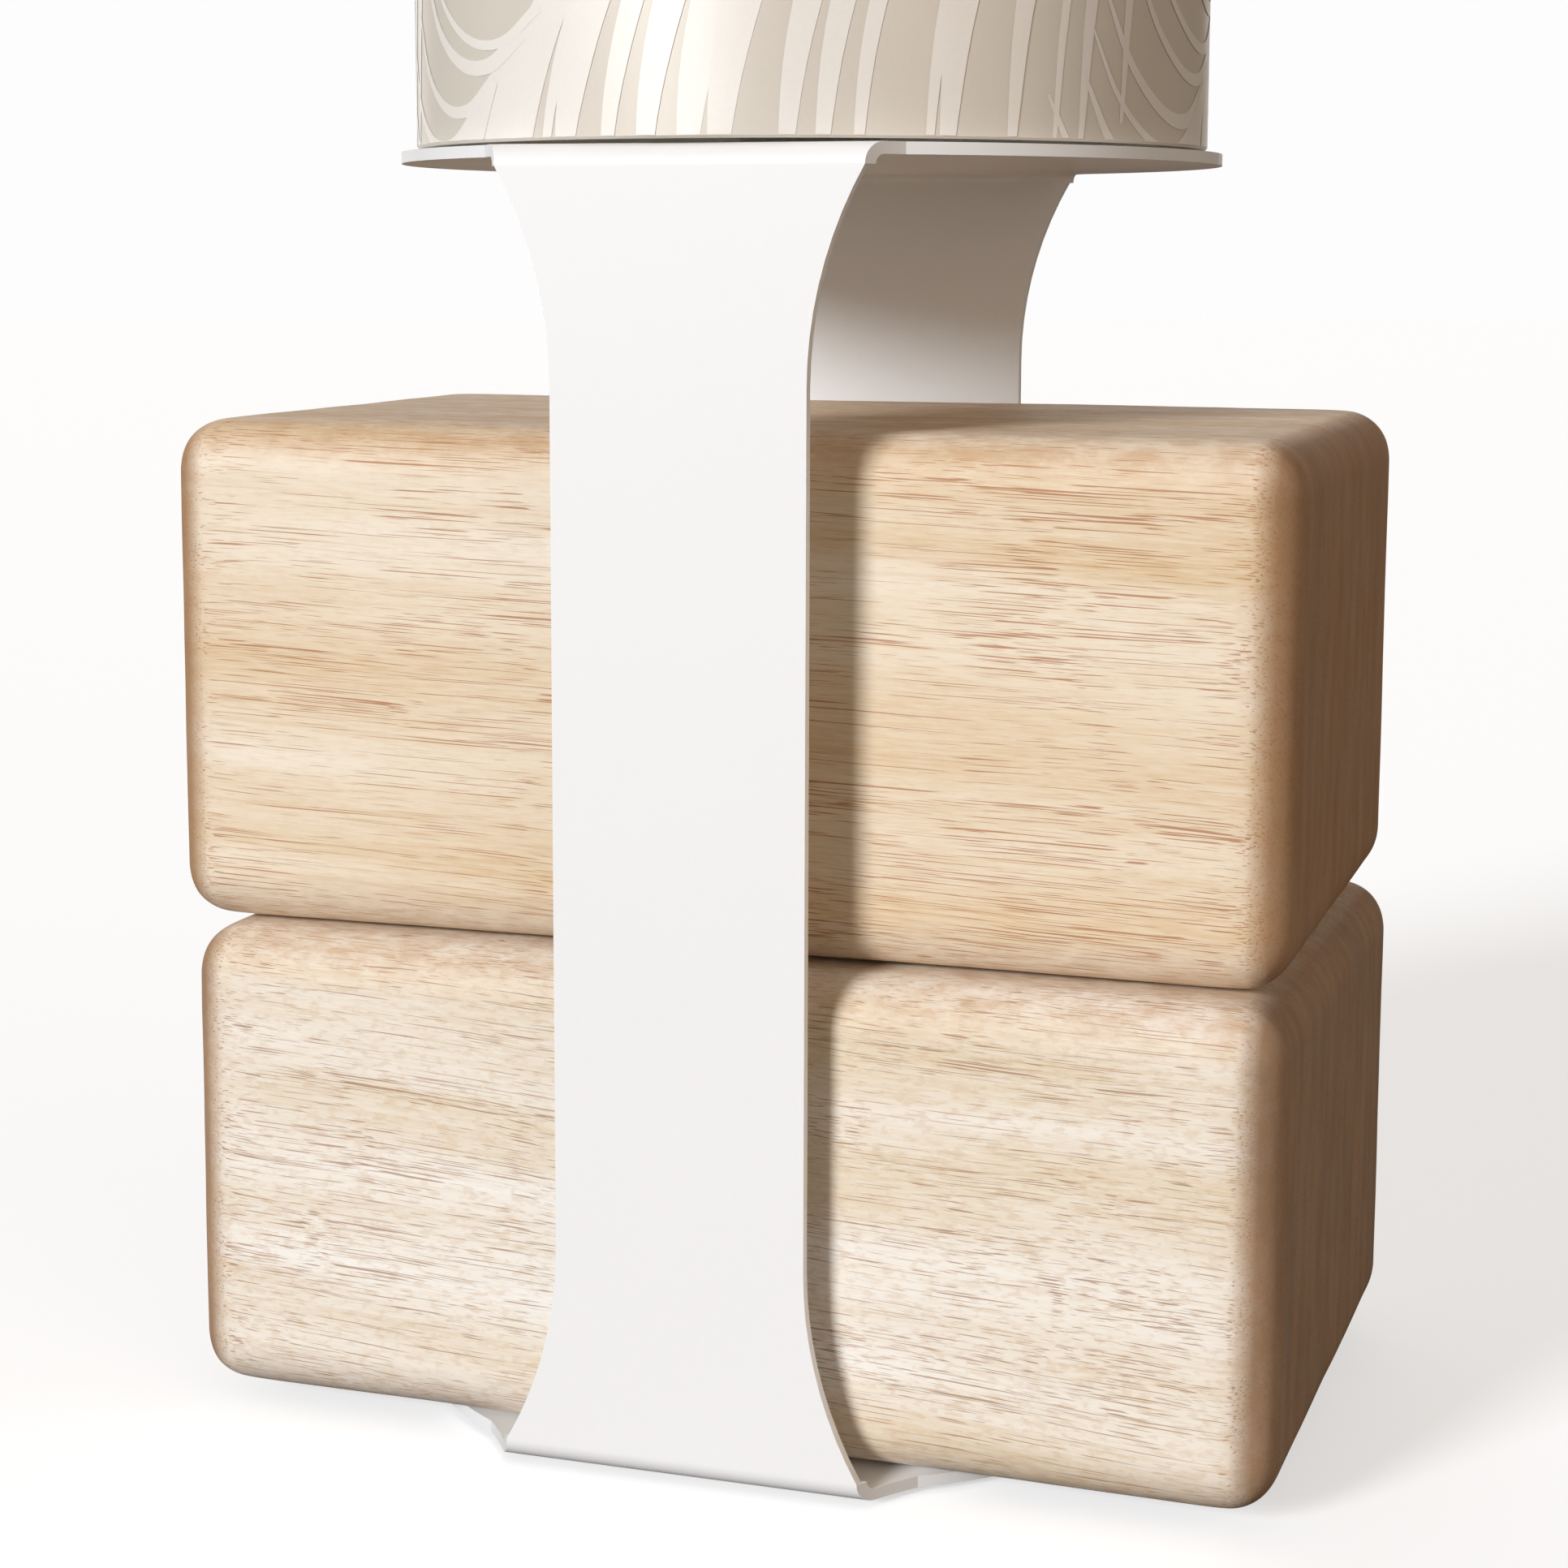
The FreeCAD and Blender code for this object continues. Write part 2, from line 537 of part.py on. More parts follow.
def centre_contact():
    """A strip of spring brass: a foot on the carrier, a rise and a flat under the bulb's tip."""
    body = new_body("centre_contact")
    foot, thick, rise = "Sizes.contact_foot", "Sizes.contact_thickness", "Sizes.contact_rise"
    low, high = shell_bottom, f"({shell_bottom} + {rise})"
    corners = [(f"-{foot}", low), (f"-{foot} / 2", low), (f"-{foot} / 4", high), (f"{foot} / 2", high)]
    corners += [(f"{foot} / 2", contact_top), (f"-{foot} / 4 - {thick}", contact_top)]
    corners += [(f"-{foot} / 2 - {thick}", f"({low} + {thick})"), (f"-{foot}", f"({low} + {thick})")]
    pad(body, drawn(body, "XZ_Plane", corners), "Sizes.contact_width", True)
    parts["centre_contact"] = body


def terminals():
    """Two brass blocks under the carrier, each with its clamping screw let in from the side."""
    blocks, screws = [], []
    low = f"({carrier_bottom} - Sizes.terminal_height)"
    middle = f"({carrier_bottom} - Sizes.terminal_height / 2)"
    half_depth = "Sizes.terminal_depth / 2"
    for name, side in (("live", ""), ("neutral", "-")):
        x = f"{side}Sizes.terminal_spread / 2"
        body = new_body(f"terminal_{name}")
        outline = box_corners("Sizes.terminal_width", "Sizes.terminal_depth", x)
        pad(body, drawn(body, "XY_Plane", outline, level=low), "Sizes.terminal_height")
        bore = "Sizes.terminal_screw + 2 * Sizes.bush_play"
        pocket(body, ringed(body, bore, x, middle, "XZ_Plane"))
        blocks.append(body)
        screw = new_body(f"terminal_screw_{name}")
        shank = ringed(screw, "Sizes.terminal_screw", x, middle, "XZ_Plane", f"-{half_depth}")
        pad(screw, shank, "Sizes.terminal_depth")
        head = ringed(screw, "Sizes.terminal_head", x, middle, "XZ_Plane", half_depth)
        pad(screw, head, "Sizes.terminal_head_height")
        screws.append(screw)
    group("terminal_blocks", blocks)
    group("terminal_screws", screws)


# The bulb: a small opal lamp with a screw cap, thin enough for the shade to lift over it.
def bulb():
    tip, cap = "Sizes.bulb_tip_diameter / 2", "Sizes.bulb_cap_diameter / 2"
    contact = [("0", tip_bottom), (f"({tip} - Sizes.bulb_tip_bevel)", tip_bottom)]
    turned("bulb_contact", contact + [(tip, foot_bottom), ("0", foot_bottom)])
    foot = [("0", foot_bottom), (tip, foot_bottom)]
    foot += [(f"({cap} - 2 * Sizes.bulb_cap_wall)", bulb_cap_bottom), ("0", bulb_cap_bottom)]
    turned("bulb_insulator", foot)
    cap_inside = f"({cap} - Sizes.bulb_cap_wall)"
    ring_of("bulb_cap", f"2 * {cap_inside}", f"2 * {cap}", bulb_cap_bottom, bulb_body_bottom)
    wall, round_ = "Sizes.bulb_wall", "Sizes.bulb_diameter / 2"
    neck = f"({cap} + Sizes.bulb_neck_flare)"
    lower = f"({bulb_body_bottom} + Sizes.bulb_neck_height)"
    upper = f"({bulb_body_top} - Sizes.bulb_rim_height)"
    body = [(f"({cap} - {wall})", bulb_body_bottom), (cap, bulb_body_bottom), (neck, lower)]
    body += [(round_, upper), (round_, bulb_body_top), (f"({round_} - {wall})", bulb_body_top)]
    body += [(f"({round_} - {wall})", upper), (f"({neck} - {wall})", lower)]
    turned("bulb_body", body)
    globe(round_, wall)
    board_bottom = f"({bulb_body_top} - Sizes.led_board_thickness)"
    board = f"(2 * ({round_} - {wall} - Sizes.fit_gap))"
    ring_of("led_board", "0", board, board_bottom, bulb_body_top)
    leds()
    driver = new_body("driver_board")
    driver_bottom = f"({bulb_cap_bottom} + Sizes.driver_gap)"
    outline = box_corners("Sizes.driver_width", "Sizes.driver_thickness")
    height = f"({board_bottom} - {driver_bottom})"
    pad(driver, drawn(driver, "XY_Plane", outline, level=driver_bottom), height)
    parts["driver_board"] = driver


def leds():
    chips = []
    for k in range(LEDS):
        turn_to = k * 360 / LEDS
        x, y = (f"Sizes.led_circle / 2 * {way}({turn_to})" for way in ("cos", "sin"))
        chip = new_body(f"led_{k + 1}")
        outline = box_corners("Sizes.led_size", "Sizes.led_size", x, y)
        sketch = drawn(chip, "XY_Plane", outline, level=bulb_body_top)
        pad(chip, sketch, "Sizes.led_board_thickness / 2")
        chips.append(chip)
    group("led_chips", chips)


def globe(round_, wall):
    """Half an ellipsoid of opal plastic, hollow."""
    shells = []
    for name, inset in (("globe_outside", "0"), ("globe_inside", wall)):
        dome = doc.addObject("Part::Ellipsoid", name)
        dome.setExpression("Radius1", f"Sizes.bulb_globe_height - {inset}")
        dome.setExpression("Radius2", f"{round_} - {inset}")
        dome.setExpression("Radius3", f"{round_} - {inset}")
        dome.Angle1 = 0
        dome.Angle2 = 90
        dome.setExpression("Placement.Base.z", bulb_body_top)
        shells.append(dome)
    made = doc.addObject("Part::Cut", "bulb_globe")
    made.Base, made.Tool = shells
    parts["bulb_globe"] = made


ring_of("base_felt", "0", "Sizes.felt_diameter", "0", base_bottom)
strap_frame()
block("lower_block", base_top, "Sizes.lower_block_twist")
block("upper_block", lower_block_top, "0")
shade()
shade_ring_nut()
fixing()
lampholder()
bulb()
doc.recompute()

for made in doc.Objects:
    if any(word in made.State for word in ("Invalid", "Error")):
        raise RuntimeError(f"{made.Label} could not be made: {made.State}")
for name, made in parts.items():
    if made.Shape.isNull() or not made.Shape.isValid():
        raise RuntimeError(f"{name} is not a sound solid")
for name, made in parts.items():
    made.Shape.exportStep(f"parts/{name}.step")
print(f"{len(parts)} nodes written")
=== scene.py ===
import bpy
import math
import random
from mathutils import Euler, Matrix, Vector


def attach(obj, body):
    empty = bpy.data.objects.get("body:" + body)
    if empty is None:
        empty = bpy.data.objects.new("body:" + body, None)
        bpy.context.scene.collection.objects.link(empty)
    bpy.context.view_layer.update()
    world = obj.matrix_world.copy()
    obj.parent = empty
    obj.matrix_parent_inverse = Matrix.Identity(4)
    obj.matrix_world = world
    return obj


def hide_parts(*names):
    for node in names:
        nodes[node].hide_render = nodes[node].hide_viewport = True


# Table lamp: two wooden blocks in a folded white steel strap, under a printed drum shade.
# Metres. Sizes in the dictionaries are millimetres, and mm turns them to metres.
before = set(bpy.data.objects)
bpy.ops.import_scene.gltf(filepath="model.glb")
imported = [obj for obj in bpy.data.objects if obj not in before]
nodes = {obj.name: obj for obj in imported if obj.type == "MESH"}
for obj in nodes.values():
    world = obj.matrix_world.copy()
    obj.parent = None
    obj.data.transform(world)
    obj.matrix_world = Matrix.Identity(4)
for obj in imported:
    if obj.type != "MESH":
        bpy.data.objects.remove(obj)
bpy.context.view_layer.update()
mm = 0.001
print("frame loaded:", len(nodes), "nodes")


def linearColour(hexCode):
    parts = [int(hexCode[i:i + 2], 16) / 255 for i in (1, 3, 5)]
    return tuple(c / 12.92 if c <= 0.04045 else ((c + 0.055) / 1.055) ** 2.4 for c in parts) + (1.0,)


def addNode(material, kind, settings=None, inputs=None, gives=0):
    # adds a node, sets it, links what feeds it, and hands back the output that is wanted
    tree = material.node_tree
    node = tree.nodes.new(kind)
    for name, value in (settings or {}).items():
        if name == "stops":  # a colour ramp's places and colours
            while len(node.color_ramp.elements) < len(value):
                node.color_ramp.elements.new(0.5)
            for element, (place, colour) in zip(node.color_ramp.elements, value):
                element.position = place
                element.color = linearColour(colour)
        else:
            setattr(node, name, value)
    for socket, value in (inputs or {}).items():
        if isinstance(value, bpy.types.NodeSocket):
            tree.links.new(value, node.inputs[socket])
        else:
            node.inputs[socket].default_value = value
    return node.outputs[gives]


def startMaterial(name, sockets):
    made = bpy.data.materials.new(name)
    made.use_nodes = True
    shader = made.node_tree.nodes["Principled BSDF"]
    for socket, value in sockets.items():
        shader.inputs[socket].default_value = linearColour(value) if isinstance(value, str) else value
    return made, shader


def link(material, shader, socket, source):
    material.node_tree.links.new(source, shader.inputs[socket])


def giveMaterial(piece, material):
    piece.data.materials.clear()
    piece.data.materials.append(material)


def deselectAll():
    if bpy.context.mode != "OBJECT":
        bpy.ops.object.mode_set(mode="OBJECT")
    bpy.ops.object.select_all(action="DESELECT")


def workOn(piece):
    deselectAll()
    piece.select_set(True)
    bpy.context.view_layer.objects.active = piece


def setDown(piece):
    # the object goes to the origin and its place goes into its mesh
    workOn(piece)
    bpy.ops.object.transform_apply(location=True, rotation=True, scale=True)


def modify(piece, kind, **settings):
    workOn(piece)
    added = piece.modifiers.new(kind.title(), kind)
    for name, value in settings.items():
        setattr(added, name, value)
    bpy.ops.object.modifier_apply(modifier=added.name)


def smooth(piece, degrees):
    workOn(piece)
    bpy.ops.object.shade_smooth_by_angle(angle=math.radians(degrees))


def growRings(name, rings, sides=96, closed=True):
    # a turned piece: a circle is extruded up or down and scaled from ring to ring, each given as
    # (radius, height) in mm
    deselectAll()
    radius, height = rings[0]
    bpy.ops.mesh.primitive_circle_add(vertices=sides, radius=radius * mm, location=(0, 0, height * mm))
    piece = bpy.context.object
    piece.name = name
    setDown(piece)
    bpy.ops.object.mode_set(mode="EDIT")
    bpy.ops.mesh.select_all(action="SELECT")
    for nextRadius, nextHeight in rings[1:]:
        rise = (nextHeight - height) * mm
        bpy.ops.mesh.extrude_region_move(TRANSFORM_OT_translate={"value": (0, 0, rise)})
        share = nextRadius / radius
        bpy.ops.transform.resize(value=(share, share, 1), center_override=(0, 0, nextHeight * mm))
        radius, height = nextRadius, nextHeight
    bpy.ops.mesh.select_all(action="SELECT")
    if closed:
        bpy.ops.mesh.remove_doubles(threshold=0.00001)
    bpy.ops.mesh.normals_make_consistent(inside=False)
    bpy.ops.object.mode_set(mode="OBJECT")
    return piece


def wireAlong(name, points, thickness):
    # a bent round wire through these points, in mm
    curve = bpy.data.curves.new(name, "CURVE")
    curve.dimensions = "3D"
    curve.bevel_depth = thickness / 2 * mm
    curve.bevel_resolution = 4
    curve.use_fill_caps = True
    line = curve.splines.new("NURBS")
    line.points.add(len(points) - 1)
    for point, (x, y, z) in zip(line.points, points):
        point.co = (x * mm, y * mm, z * mm, 1)
    line.order_u = 3
    line.use_endpoint_u = True
    line.resolution_u = 8
    piece = bpy.data.objects.new(name, curve)
    bpy.context.scene.collection.objects.link(piece)
    workOn(piece)
    bpy.ops.object.convert(target="MESH")
    return bpy.context.object


def joinAll(name, pieces):
    deselectAll()
    for piece in pieces:
        piece.select_set(True)
    bpy.context.view_layer.objects.active = pieces[0]
    bpy.ops.object.join()
    made = bpy.context.object
    made.name = name
    return made


camera = {
    "place": (213.96, -671.54, 259.0),
    "turn": 0.3168,  # radians to the left
    "tilt": 0.1367,  # radians down
    "roll": 0.0029,
    "lens": 70.63,
    "sensor": 36,
    "near": 0.05,  # metres, as far is
    "far": 60,
    "shiftY": -0.0699,
}


def makeCamera():
    data = bpy.data.cameras.new("camera")
    data.lens = camera["lens"]
    data.sensor_width = camera["sensor"]
    data.shift_y = camera["shiftY"]
    data.clip_start, data.clip_end = camera["near"], camera["far"]
    made = bpy.data.objects.new("camera", data)
    bpy.context.scene.collection.objects.link(made)
    aim = Euler((math.pi / 2 - camera["tilt"], 0, camera["turn"])).to_matrix()
    aim = aim @ Matrix.Rotation(camera["roll"], 3, "Z")
    made.location = [c * mm for c in camera["place"]]
    made.rotation_euler = aim.to_euler()
    bpy.context.scene.camera = made


makeCamera()
print("camera placed")


studio = {
    "floorRadius": 12000,
    "floorColour": "#D4D7DB",  # what is seen of the floor, under its glow
    "floorShade": "#6E6862",  # what the lamp gets back from the floor
    "floorGlow": 0.58,
    "sky": "#FDFDFD",
    "bounce": "#FFECDA",
    "bounceStrength": 0.19,
    # each sun's turn is in degrees from straight in front, to the right, and wide is how large it
    # looks in the sky, in degrees
    "suns": {
        "key": {"turn": -25, "height": 19, "strength": 2.84, "wide": 16, "colour": "#FFFFFF"},
        "fill": {"turn": 62, "height": 12, "strength": 0.86, "wide": 60, "colour": "#FFE9D2"},
        "back": {"turn": -156, "height": 9, "strength": 0.85, "wide": 60, "colour": "#FFFDFA"},
    },
}


def makeStudio():
    deselectAll()
    bpy.ops.mesh.primitive_circle_add(vertices=96, radius=studio["floorRadius"] * mm, fill_type="NGON")
    floor = bpy.context.object
    floor.name = "floor"
    # matt studio paper: plain and pale
    paper, shader = startMaterial("matt studio paper", {"Roughness": 0.9, "Specular IOR Level": 0.1,
                                                        "Emission Color": "#FFFFFF"})
    seen = addNode(paper, "ShaderNodeLightPath", gives="Is Camera Ray")
    tone = addNode(paper, "ShaderNodeMix", {"data_type": "RGBA"},
                   {0: seen, 6: linearColour(studio["floorShade"]),
                    7: linearColour(studio["floorColour"])}, 2)
    link(paper, shader, "Base Color", tone)
    glow = addNode(paper, "ShaderNodeMath", {"operation": "MULTIPLY"}, {0: seen, 1: studio["floorGlow"]})
    link(paper, shader, "Emission Strength", glow)
    giveMaterial(floor, paper)

    world = bpy.data.worlds.new("studio")
    world.use_nodes = True
    bpy.context.scene.world = world
    sky = world.node_tree.nodes["Background"]
    sky.inputs["Color"].default_value = linearColour(studio["sky"])
    bounce = addNode(world, "ShaderNodeBackground", None,
                     {"Color": linearColour(studio["bounce"]), "Strength": studio["bounceStrength"]})
    seen = addNode(world, "ShaderNodeLightPath", gives="Is Camera Ray")
    both = addNode(world, "ShaderNodeMixShader", None, {0: seen, 1: bounce, 2: sky.outputs[0]})
    world.node_tree.links.new(both, world.node_tree.nodes["World Output"].inputs["Surface"])

    for name, sun in studio["suns"].items():
        data = bpy.data.lights.new(name, "SUN")
        data.energy = sun["strength"]
        data.angle = math.radians(sun["wide"])
        data.color = linearColour(sun["colour"])[:3]
        lamp = bpy.data.objects.new(name, data)
        bpy.context.scene.collection.objects.link(lamp)
        lamp.rotation_euler = (math.radians(90 - sun["height"]), 0, math.radians(sun["turn"]))


makeStudio()
bpy.context.scene.view_settings.view_transform = "Standard"
print("floor and light made")


# Each block was sawn, sanded round by hand and oiled, so its edges waver a little.
blocks = {
    "upper_block": {
        "size": (250, 148, 112), "middle": (-1.4, 0.6, 166.6), "twist": 0, "rounding": 11.3,
        "uneven": 0.45, "slot": "upper_wood",
    },
    "lower_block": {
        "size": (245.7, 151, 106.6), "middle": (2.5, -4.9, 57.3), "twist": -0.9, "rounding": 11.3,
        "uneven": 0.55, "slot": "lower_wood",
    },
}
sanding = {
    "hollows": ((70, 1.0), (22, 0.35)),  # mm across, and the share of uneven that they sink
    "edge": 15,  # mm from an edge, or from an end, that the edge wear and painted shade reach
    "fade": 1.6,  # how fast it fades away from the edge
    "atEnds": 1.45, "lessAway": 0.5,  # darker edges near the ends, both wear and painted shade, and how much less it is elsewhere
    "low": 0.8, "rise": 0.4,  # edge wear at the bottom of a block, and how much darker the edges are painted towards the top, as shade
    "top": 0.6,  # tops are painted darker, as shade
    "endFrom": 0.14, "endOver": 0.46,  # how far a face turns to its end before the end grain, with its painted shade, shows
}


def makeBlock(node, look):
    deselectAll()
    size, middle = Vector(look["size"]) * mm, Vector(look["middle"]) * mm
    bpy.ops.mesh.primitive_cube_add(size=1, location=(0, 0, 0))
    piece = bpy.context.object
    piece.name = node + "_sanded"
    piece.scale = size
    setDown(piece)
    bpy.ops.object.mode_set(mode="EDIT")
    bpy.ops.mesh.select_all(action="SELECT")
    bpy.ops.mesh.subdivide(number_cuts=8)
    bpy.ops.object.mode_set(mode="OBJECT")
    modify(piece, "BEVEL", width=look["rounding"] * mm, segments=6, limit_method="ANGLE",
           angle_limit=math.radians(50), use_clamp_overlap=False)
    modify(piece, "SUBSURF", levels=2, render_levels=2)
    # hand sanding leaves broad shallow hollows, and smaller ones in them
    for wave, share in sanding["hollows"]:
        hollows = bpy.data.textures.new(f"{node} hollows {wave}", "CLOUDS")
        hollows.noise_scale = wave * mm
        hollows.noise_depth = 1
        modify(piece, "DISPLACE", texture=hollows, texture_coords="LOCAL",
               strength=-look["uneven"] * share * mm, mid_level=0)
    # how near each point is to an edge, for edge wear and painted shade on edges, ends and tops, and how
    # much it faces along the grain, for end grain and its painted shade
    worn = piece.data.attributes.new("worn", "FLOAT", "POINT")
    endGrain = piece.data.attributes.new("endGrain", "FLOAT", "POINT")
    for v in piece.data.vertices:
        gaps = [max(0, size[i] / 2 - abs(v.co[i])) / mm for i in range(3)]
        fromEnd = min(1, gaps[0] / sanding["edge"])
        nearEdge = max(0, 1 - sorted(gaps)[1] / sanding["edge"]) ** sanding["fade"]
        nearEdge = nearEdge * (sanding["atEnds"] - sanding["lessAway"] * fromEnd)
        upper = min(1, max(0, v.co.z / size.z + 0.5))
        worn.data[v.index].value = max(nearEdge * (sanding["low"] + sanding["rise"] * upper),
                                       sanding["top"] * v.normal.z)
        turned = (abs(v.normal.x) - sanding["endFrom"]) / sanding["endOver"]
        endGrain.data[v.index].value = min(1, max(0, turned))
    piece.location = middle
    piece.rotation_euler = (0, 0, math.radians(look["twist"]))
    setDown(piece)
    smooth(piece, 60)
    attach(piece, node)
    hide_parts(node)
    return piece


# Colours, and the sizes in mm of what shows in the wood. Each layer is a noise drawn out along the
# grain: how long and wide its marks are, its detail, the part of it that shows, how much of it, and
# its colour. Each set of pores has the same sizes, and start is where in its noise a pore begins.
woods = {
    # plantation hardwood, sanded and oiled: cream with fine reddish pores and honey edges
    "upper_block": {
        "name": "oiled sanded hardwood", "tones": ("#E0C7A2", "#ECDCC4", "#F4EADA"),
        # edge is the tone of oiled edge wear, also used as painted shade on tops and ends; end is end
        # grain, also painted shade
        "pore": "#A8622F", "edge": "#C39A70", "end": "#957253",
        "drift": 0.6, "push": 0.0, "slope": 2.0,
        "layers": [
            dict(long=170, wide=1.5, detail=3, shows=(0.53, 0.72), share=0.32, colour="#D3B187"),
            dict(long=11, wide=0.55, detail=2, shows=(0.40, 0.62), share=0.30, colour="#F5ECDD"),
            dict(long=6, wide=0.5, detail=1, shows=(0.50, 0.70), share=0.20, colour="#DABD97"),
            dict(long=3.2, wide=1.3, detail=2, shows=(0.50, 0.66), share=0.07, colour="#C39A70"),
        ],
        "pores": [
            dict(long=14, wide=0.22, detail=1, start=0.655),
            dict(long=44, wide=0.26, detail=0, start=0.662),
        ],
    },
    # the same wood from a paler plank: whiter, with short curly flecks
    "lower_block": {
        "name": "oiled sanded pale hardwood", "tones": ("#E4D4BA", "#F1EADF", "#F8F5F0"),
        # edge is the tone of oiled edge wear, also used as painted shade on tops and ends; end is end
        # grain, also painted shade
        "pore": "#9F7150", "edge": "#C5A078", "end": "#927257",
        "drift": 1.0, "push": 400.0, "slope": 2.6,
        "layers": [
            dict(long=150, wide=1.5, detail=3, shows=(0.53, 0.72), share=0.32, colour="#D8C09C"),
            dict(long=9, wide=0.6, detail=2, shows=(0.40, 0.62), share=0.32, colour="#F8F4EE"),
            dict(long=5, wide=0.5, detail=1, shows=(0.50, 0.70), share=0.22, colour="#DCC6A4"),
            dict(long=3.2, wide=1.4, detail=2, shows=(0.50, 0.66), share=0.26, colour="#CFAB83"),
        ],
        "pores": [
            dict(long=11, wide=0.24, detail=1, start=0.652),
            dict(long=34, wide=0.26, detail=0, start=0.668),
        ],
    },
}
# What both woods share: sizes in mm along the grain, across it and up.
grain = {
    "wander": (90, 40, 40), "strayed": 4,  # the fibres' waves, and how far they stray
    "bands": (260, 17, 17),
    "crowd": (90, 7, 7), "soft": 0.07,  # where pores are many, and how soft a pore's rim is
    "ragged": (7, 4, 4),
    "streaks": (200, 6, 40),
    "dots": (2, 0.7, 0.7),
    "relief": 0.12,
}


def makeWood(look):
    wood, shader = startMaterial(look["name"], {"Roughness": 0.62, "IOR": 1.5,
                                                "Specular IOR Level": 0.35})
    place = addNode(wood, "ShaderNodeTexCoord", gives="Object")
    place = addNode(wood, "ShaderNodeVectorMath", {"operation": "MULTIPLY_ADD"},
                    {0: place, 1: (1000, 1000, 1000), 2: (look["push"], look["push"], 0)})
    # the plank was sawn a little across its grain
    place = addNode(wood, "ShaderNodeMapping", None,
                    {"Vector": place, "Rotation": (0, math.radians(-look["slope"]), 0)})
    # the fibres wander by a millimetre or two over a hand's width
    wander = addNode(wood, "ShaderNodeMapping", None,
                     {"Vector": place, "Scale": [1 / size for size in grain["wander"]]})
    wander = addNode(wood, "ShaderNodeTexNoise", None,
                     {"Vector": wander, "Scale": 1.0, "Detail": 2.0}, "Color")
    wander = addNode(wood, "ShaderNodeVectorMath", {"operation": "SUBTRACT"},
                     {0: wander, 1: (0.5, 0.5, 0.5)})
    strayed = grain["strayed"] * look["drift"]
    fibres = addNode(wood, "ShaderNodeVectorMath", {"operation": "MULTIPLY_ADD"},
                     {0: wander, 1: (0, strayed, strayed), 2: place})

    # yearly growth as broad soft bands, 3 to 25 mm apart
    bands = addNode(wood, "ShaderNodeMapping", None,
                    {"Vector": fibres, "Scale": [1 / size for size in grain["bands"]]})
    bands = addNode(wood, "ShaderNodeTexNoise", None,
                    {"Vector": bands, "Scale": 1.0, "Detail": 3.0, "Roughness": 0.55})
    tone = addNode(wood, "ShaderNodeValToRGB", {"stops": list(zip((0.30, 0.50, 0.68), look["tones"]))},
                   {"Fac": bands})
    # growth lines, fibre shimmer and flecks over them
    for layer in look["layers"]:
        stretch = (1 / layer["long"], 1 / layer["wide"], 1 / layer["wide"])
        marks = addNode(wood, "ShaderNodeMapping", None, {"Vector": fibres, "Scale": stretch})
        marks = addNode(wood, "ShaderNodeTexNoise", None,
                        {"Vector": marks, "Scale": 1.0, "Detail": layer["detail"], "Roughness": 0.6})
        shown = addNode(wood, "ShaderNodeMapRange", {"interpolation_type": "SMOOTHSTEP"},
                        {"Value": marks, "From Min": layer["shows"][0], "From Max": layer["shows"][1],
                         "To Max": layer["share"]})
        tone = addNode(wood, "ShaderNodeMix", {"data_type": "RGBA"},
                       {0: shown, 6: tone, 7: linearColour(layer["colour"])}, 2)
    flecks = marks  # the last layer, which also raises the surface a little

    # pores: brown tubes along the grain, more of them in some bands than in others
    crowd = addNode(wood, "ShaderNodeMapping", None,
                    {"Vector": fibres, "Scale": [1 / size for size in grain["crowd"]]})
    crowd = addNode(wood, "ShaderNodeTexNoise", None, {"Vector": crowd, "Scale": 1.0, "Detail": 2.0})
    crowd = addNode(wood, "ShaderNodeMapRange", {"interpolation_type": "SMOOTHSTEP"},
                    {"Value": crowd, "From Min": 0.36, "From Max": 0.66,
                     "To Min": 0.035, "To Max": -0.035})
    pores = 0.0
    for tube in look["pores"]:
        stretch = (1 / tube["long"], 1 / tube["wide"], 1 / tube["wide"])
        marks = addNode(wood, "ShaderNodeMapping", None, {"Vector": fibres, "Scale": stretch})
        marks = addNode(wood, "ShaderNodeTexNoise", None,
                        {"Vector": marks, "Scale": 1.0, "Detail": tube["detail"], "Roughness": 0.4})
        marks = addNode(wood, "ShaderNodeMath", {"operation": "SUBTRACT"}, {0: marks, 1: crowd})
        marks = addNode(wood, "ShaderNodeMapRange", {"interpolation_type": "SMOOTHSTEP"},
                        {"Value": marks, "From Min": tube["start"],
                         "From Max": tube["start"] + grain["soft"]})
        pores = addNode(wood, "ShaderNodeMath", {"operation": "MAXIMUM"}, {0: marks, 1: pores})
    inked = addNode(wood, "ShaderNodeMath", {"operation": "MULTIPLY"}, {0: pores, 1: 0.7})
    tone = addNode(wood, "ShaderNodeMix", {"data_type": "RGBA"},
                   {0: inked, 6: tone, 7: linearColour(look["pore"])}, 2)

    # sanded edges took more oil, in ragged patches; the same darker tone is painted shade on the tops,
    # the upper edges and the ends
    worn = addNode(wood, "ShaderNodeAttribute", {"attribute_name": "worn"}, None, "Fac")
    ragged = addNode(wood, "ShaderNodeMapping", None,
                     {"Vector": place, "Scale": [1 / size for size in grain["ragged"]]})
    ragged = addNode(wood, "ShaderNodeTexNoise", None,
                     {"Vector": ragged, "Scale": 1.0, "Detail": 4.0, "Roughness": 0.65})
    ragged = addNode(wood, "ShaderNodeMapRange", {"interpolation_type": "SMOOTHSTEP"},
                     {"Value": ragged, "From Min": 0.34, "From Max": 0.66,
                      "To Min": 0.30, "To Max": 0.85})
    oiledAndShaded = addNode(wood, "ShaderNodeMath", {"operation": "MULTIPLY", "use_clamp": True},
                    {0: worn, 1: ragged})
    tone = addNode(wood, "ShaderNodeMix", {"data_type": "RGBA"},
                   {0: oiledAndShaded, 6: tone, 7: linearColour(look["edge"])}, 2)
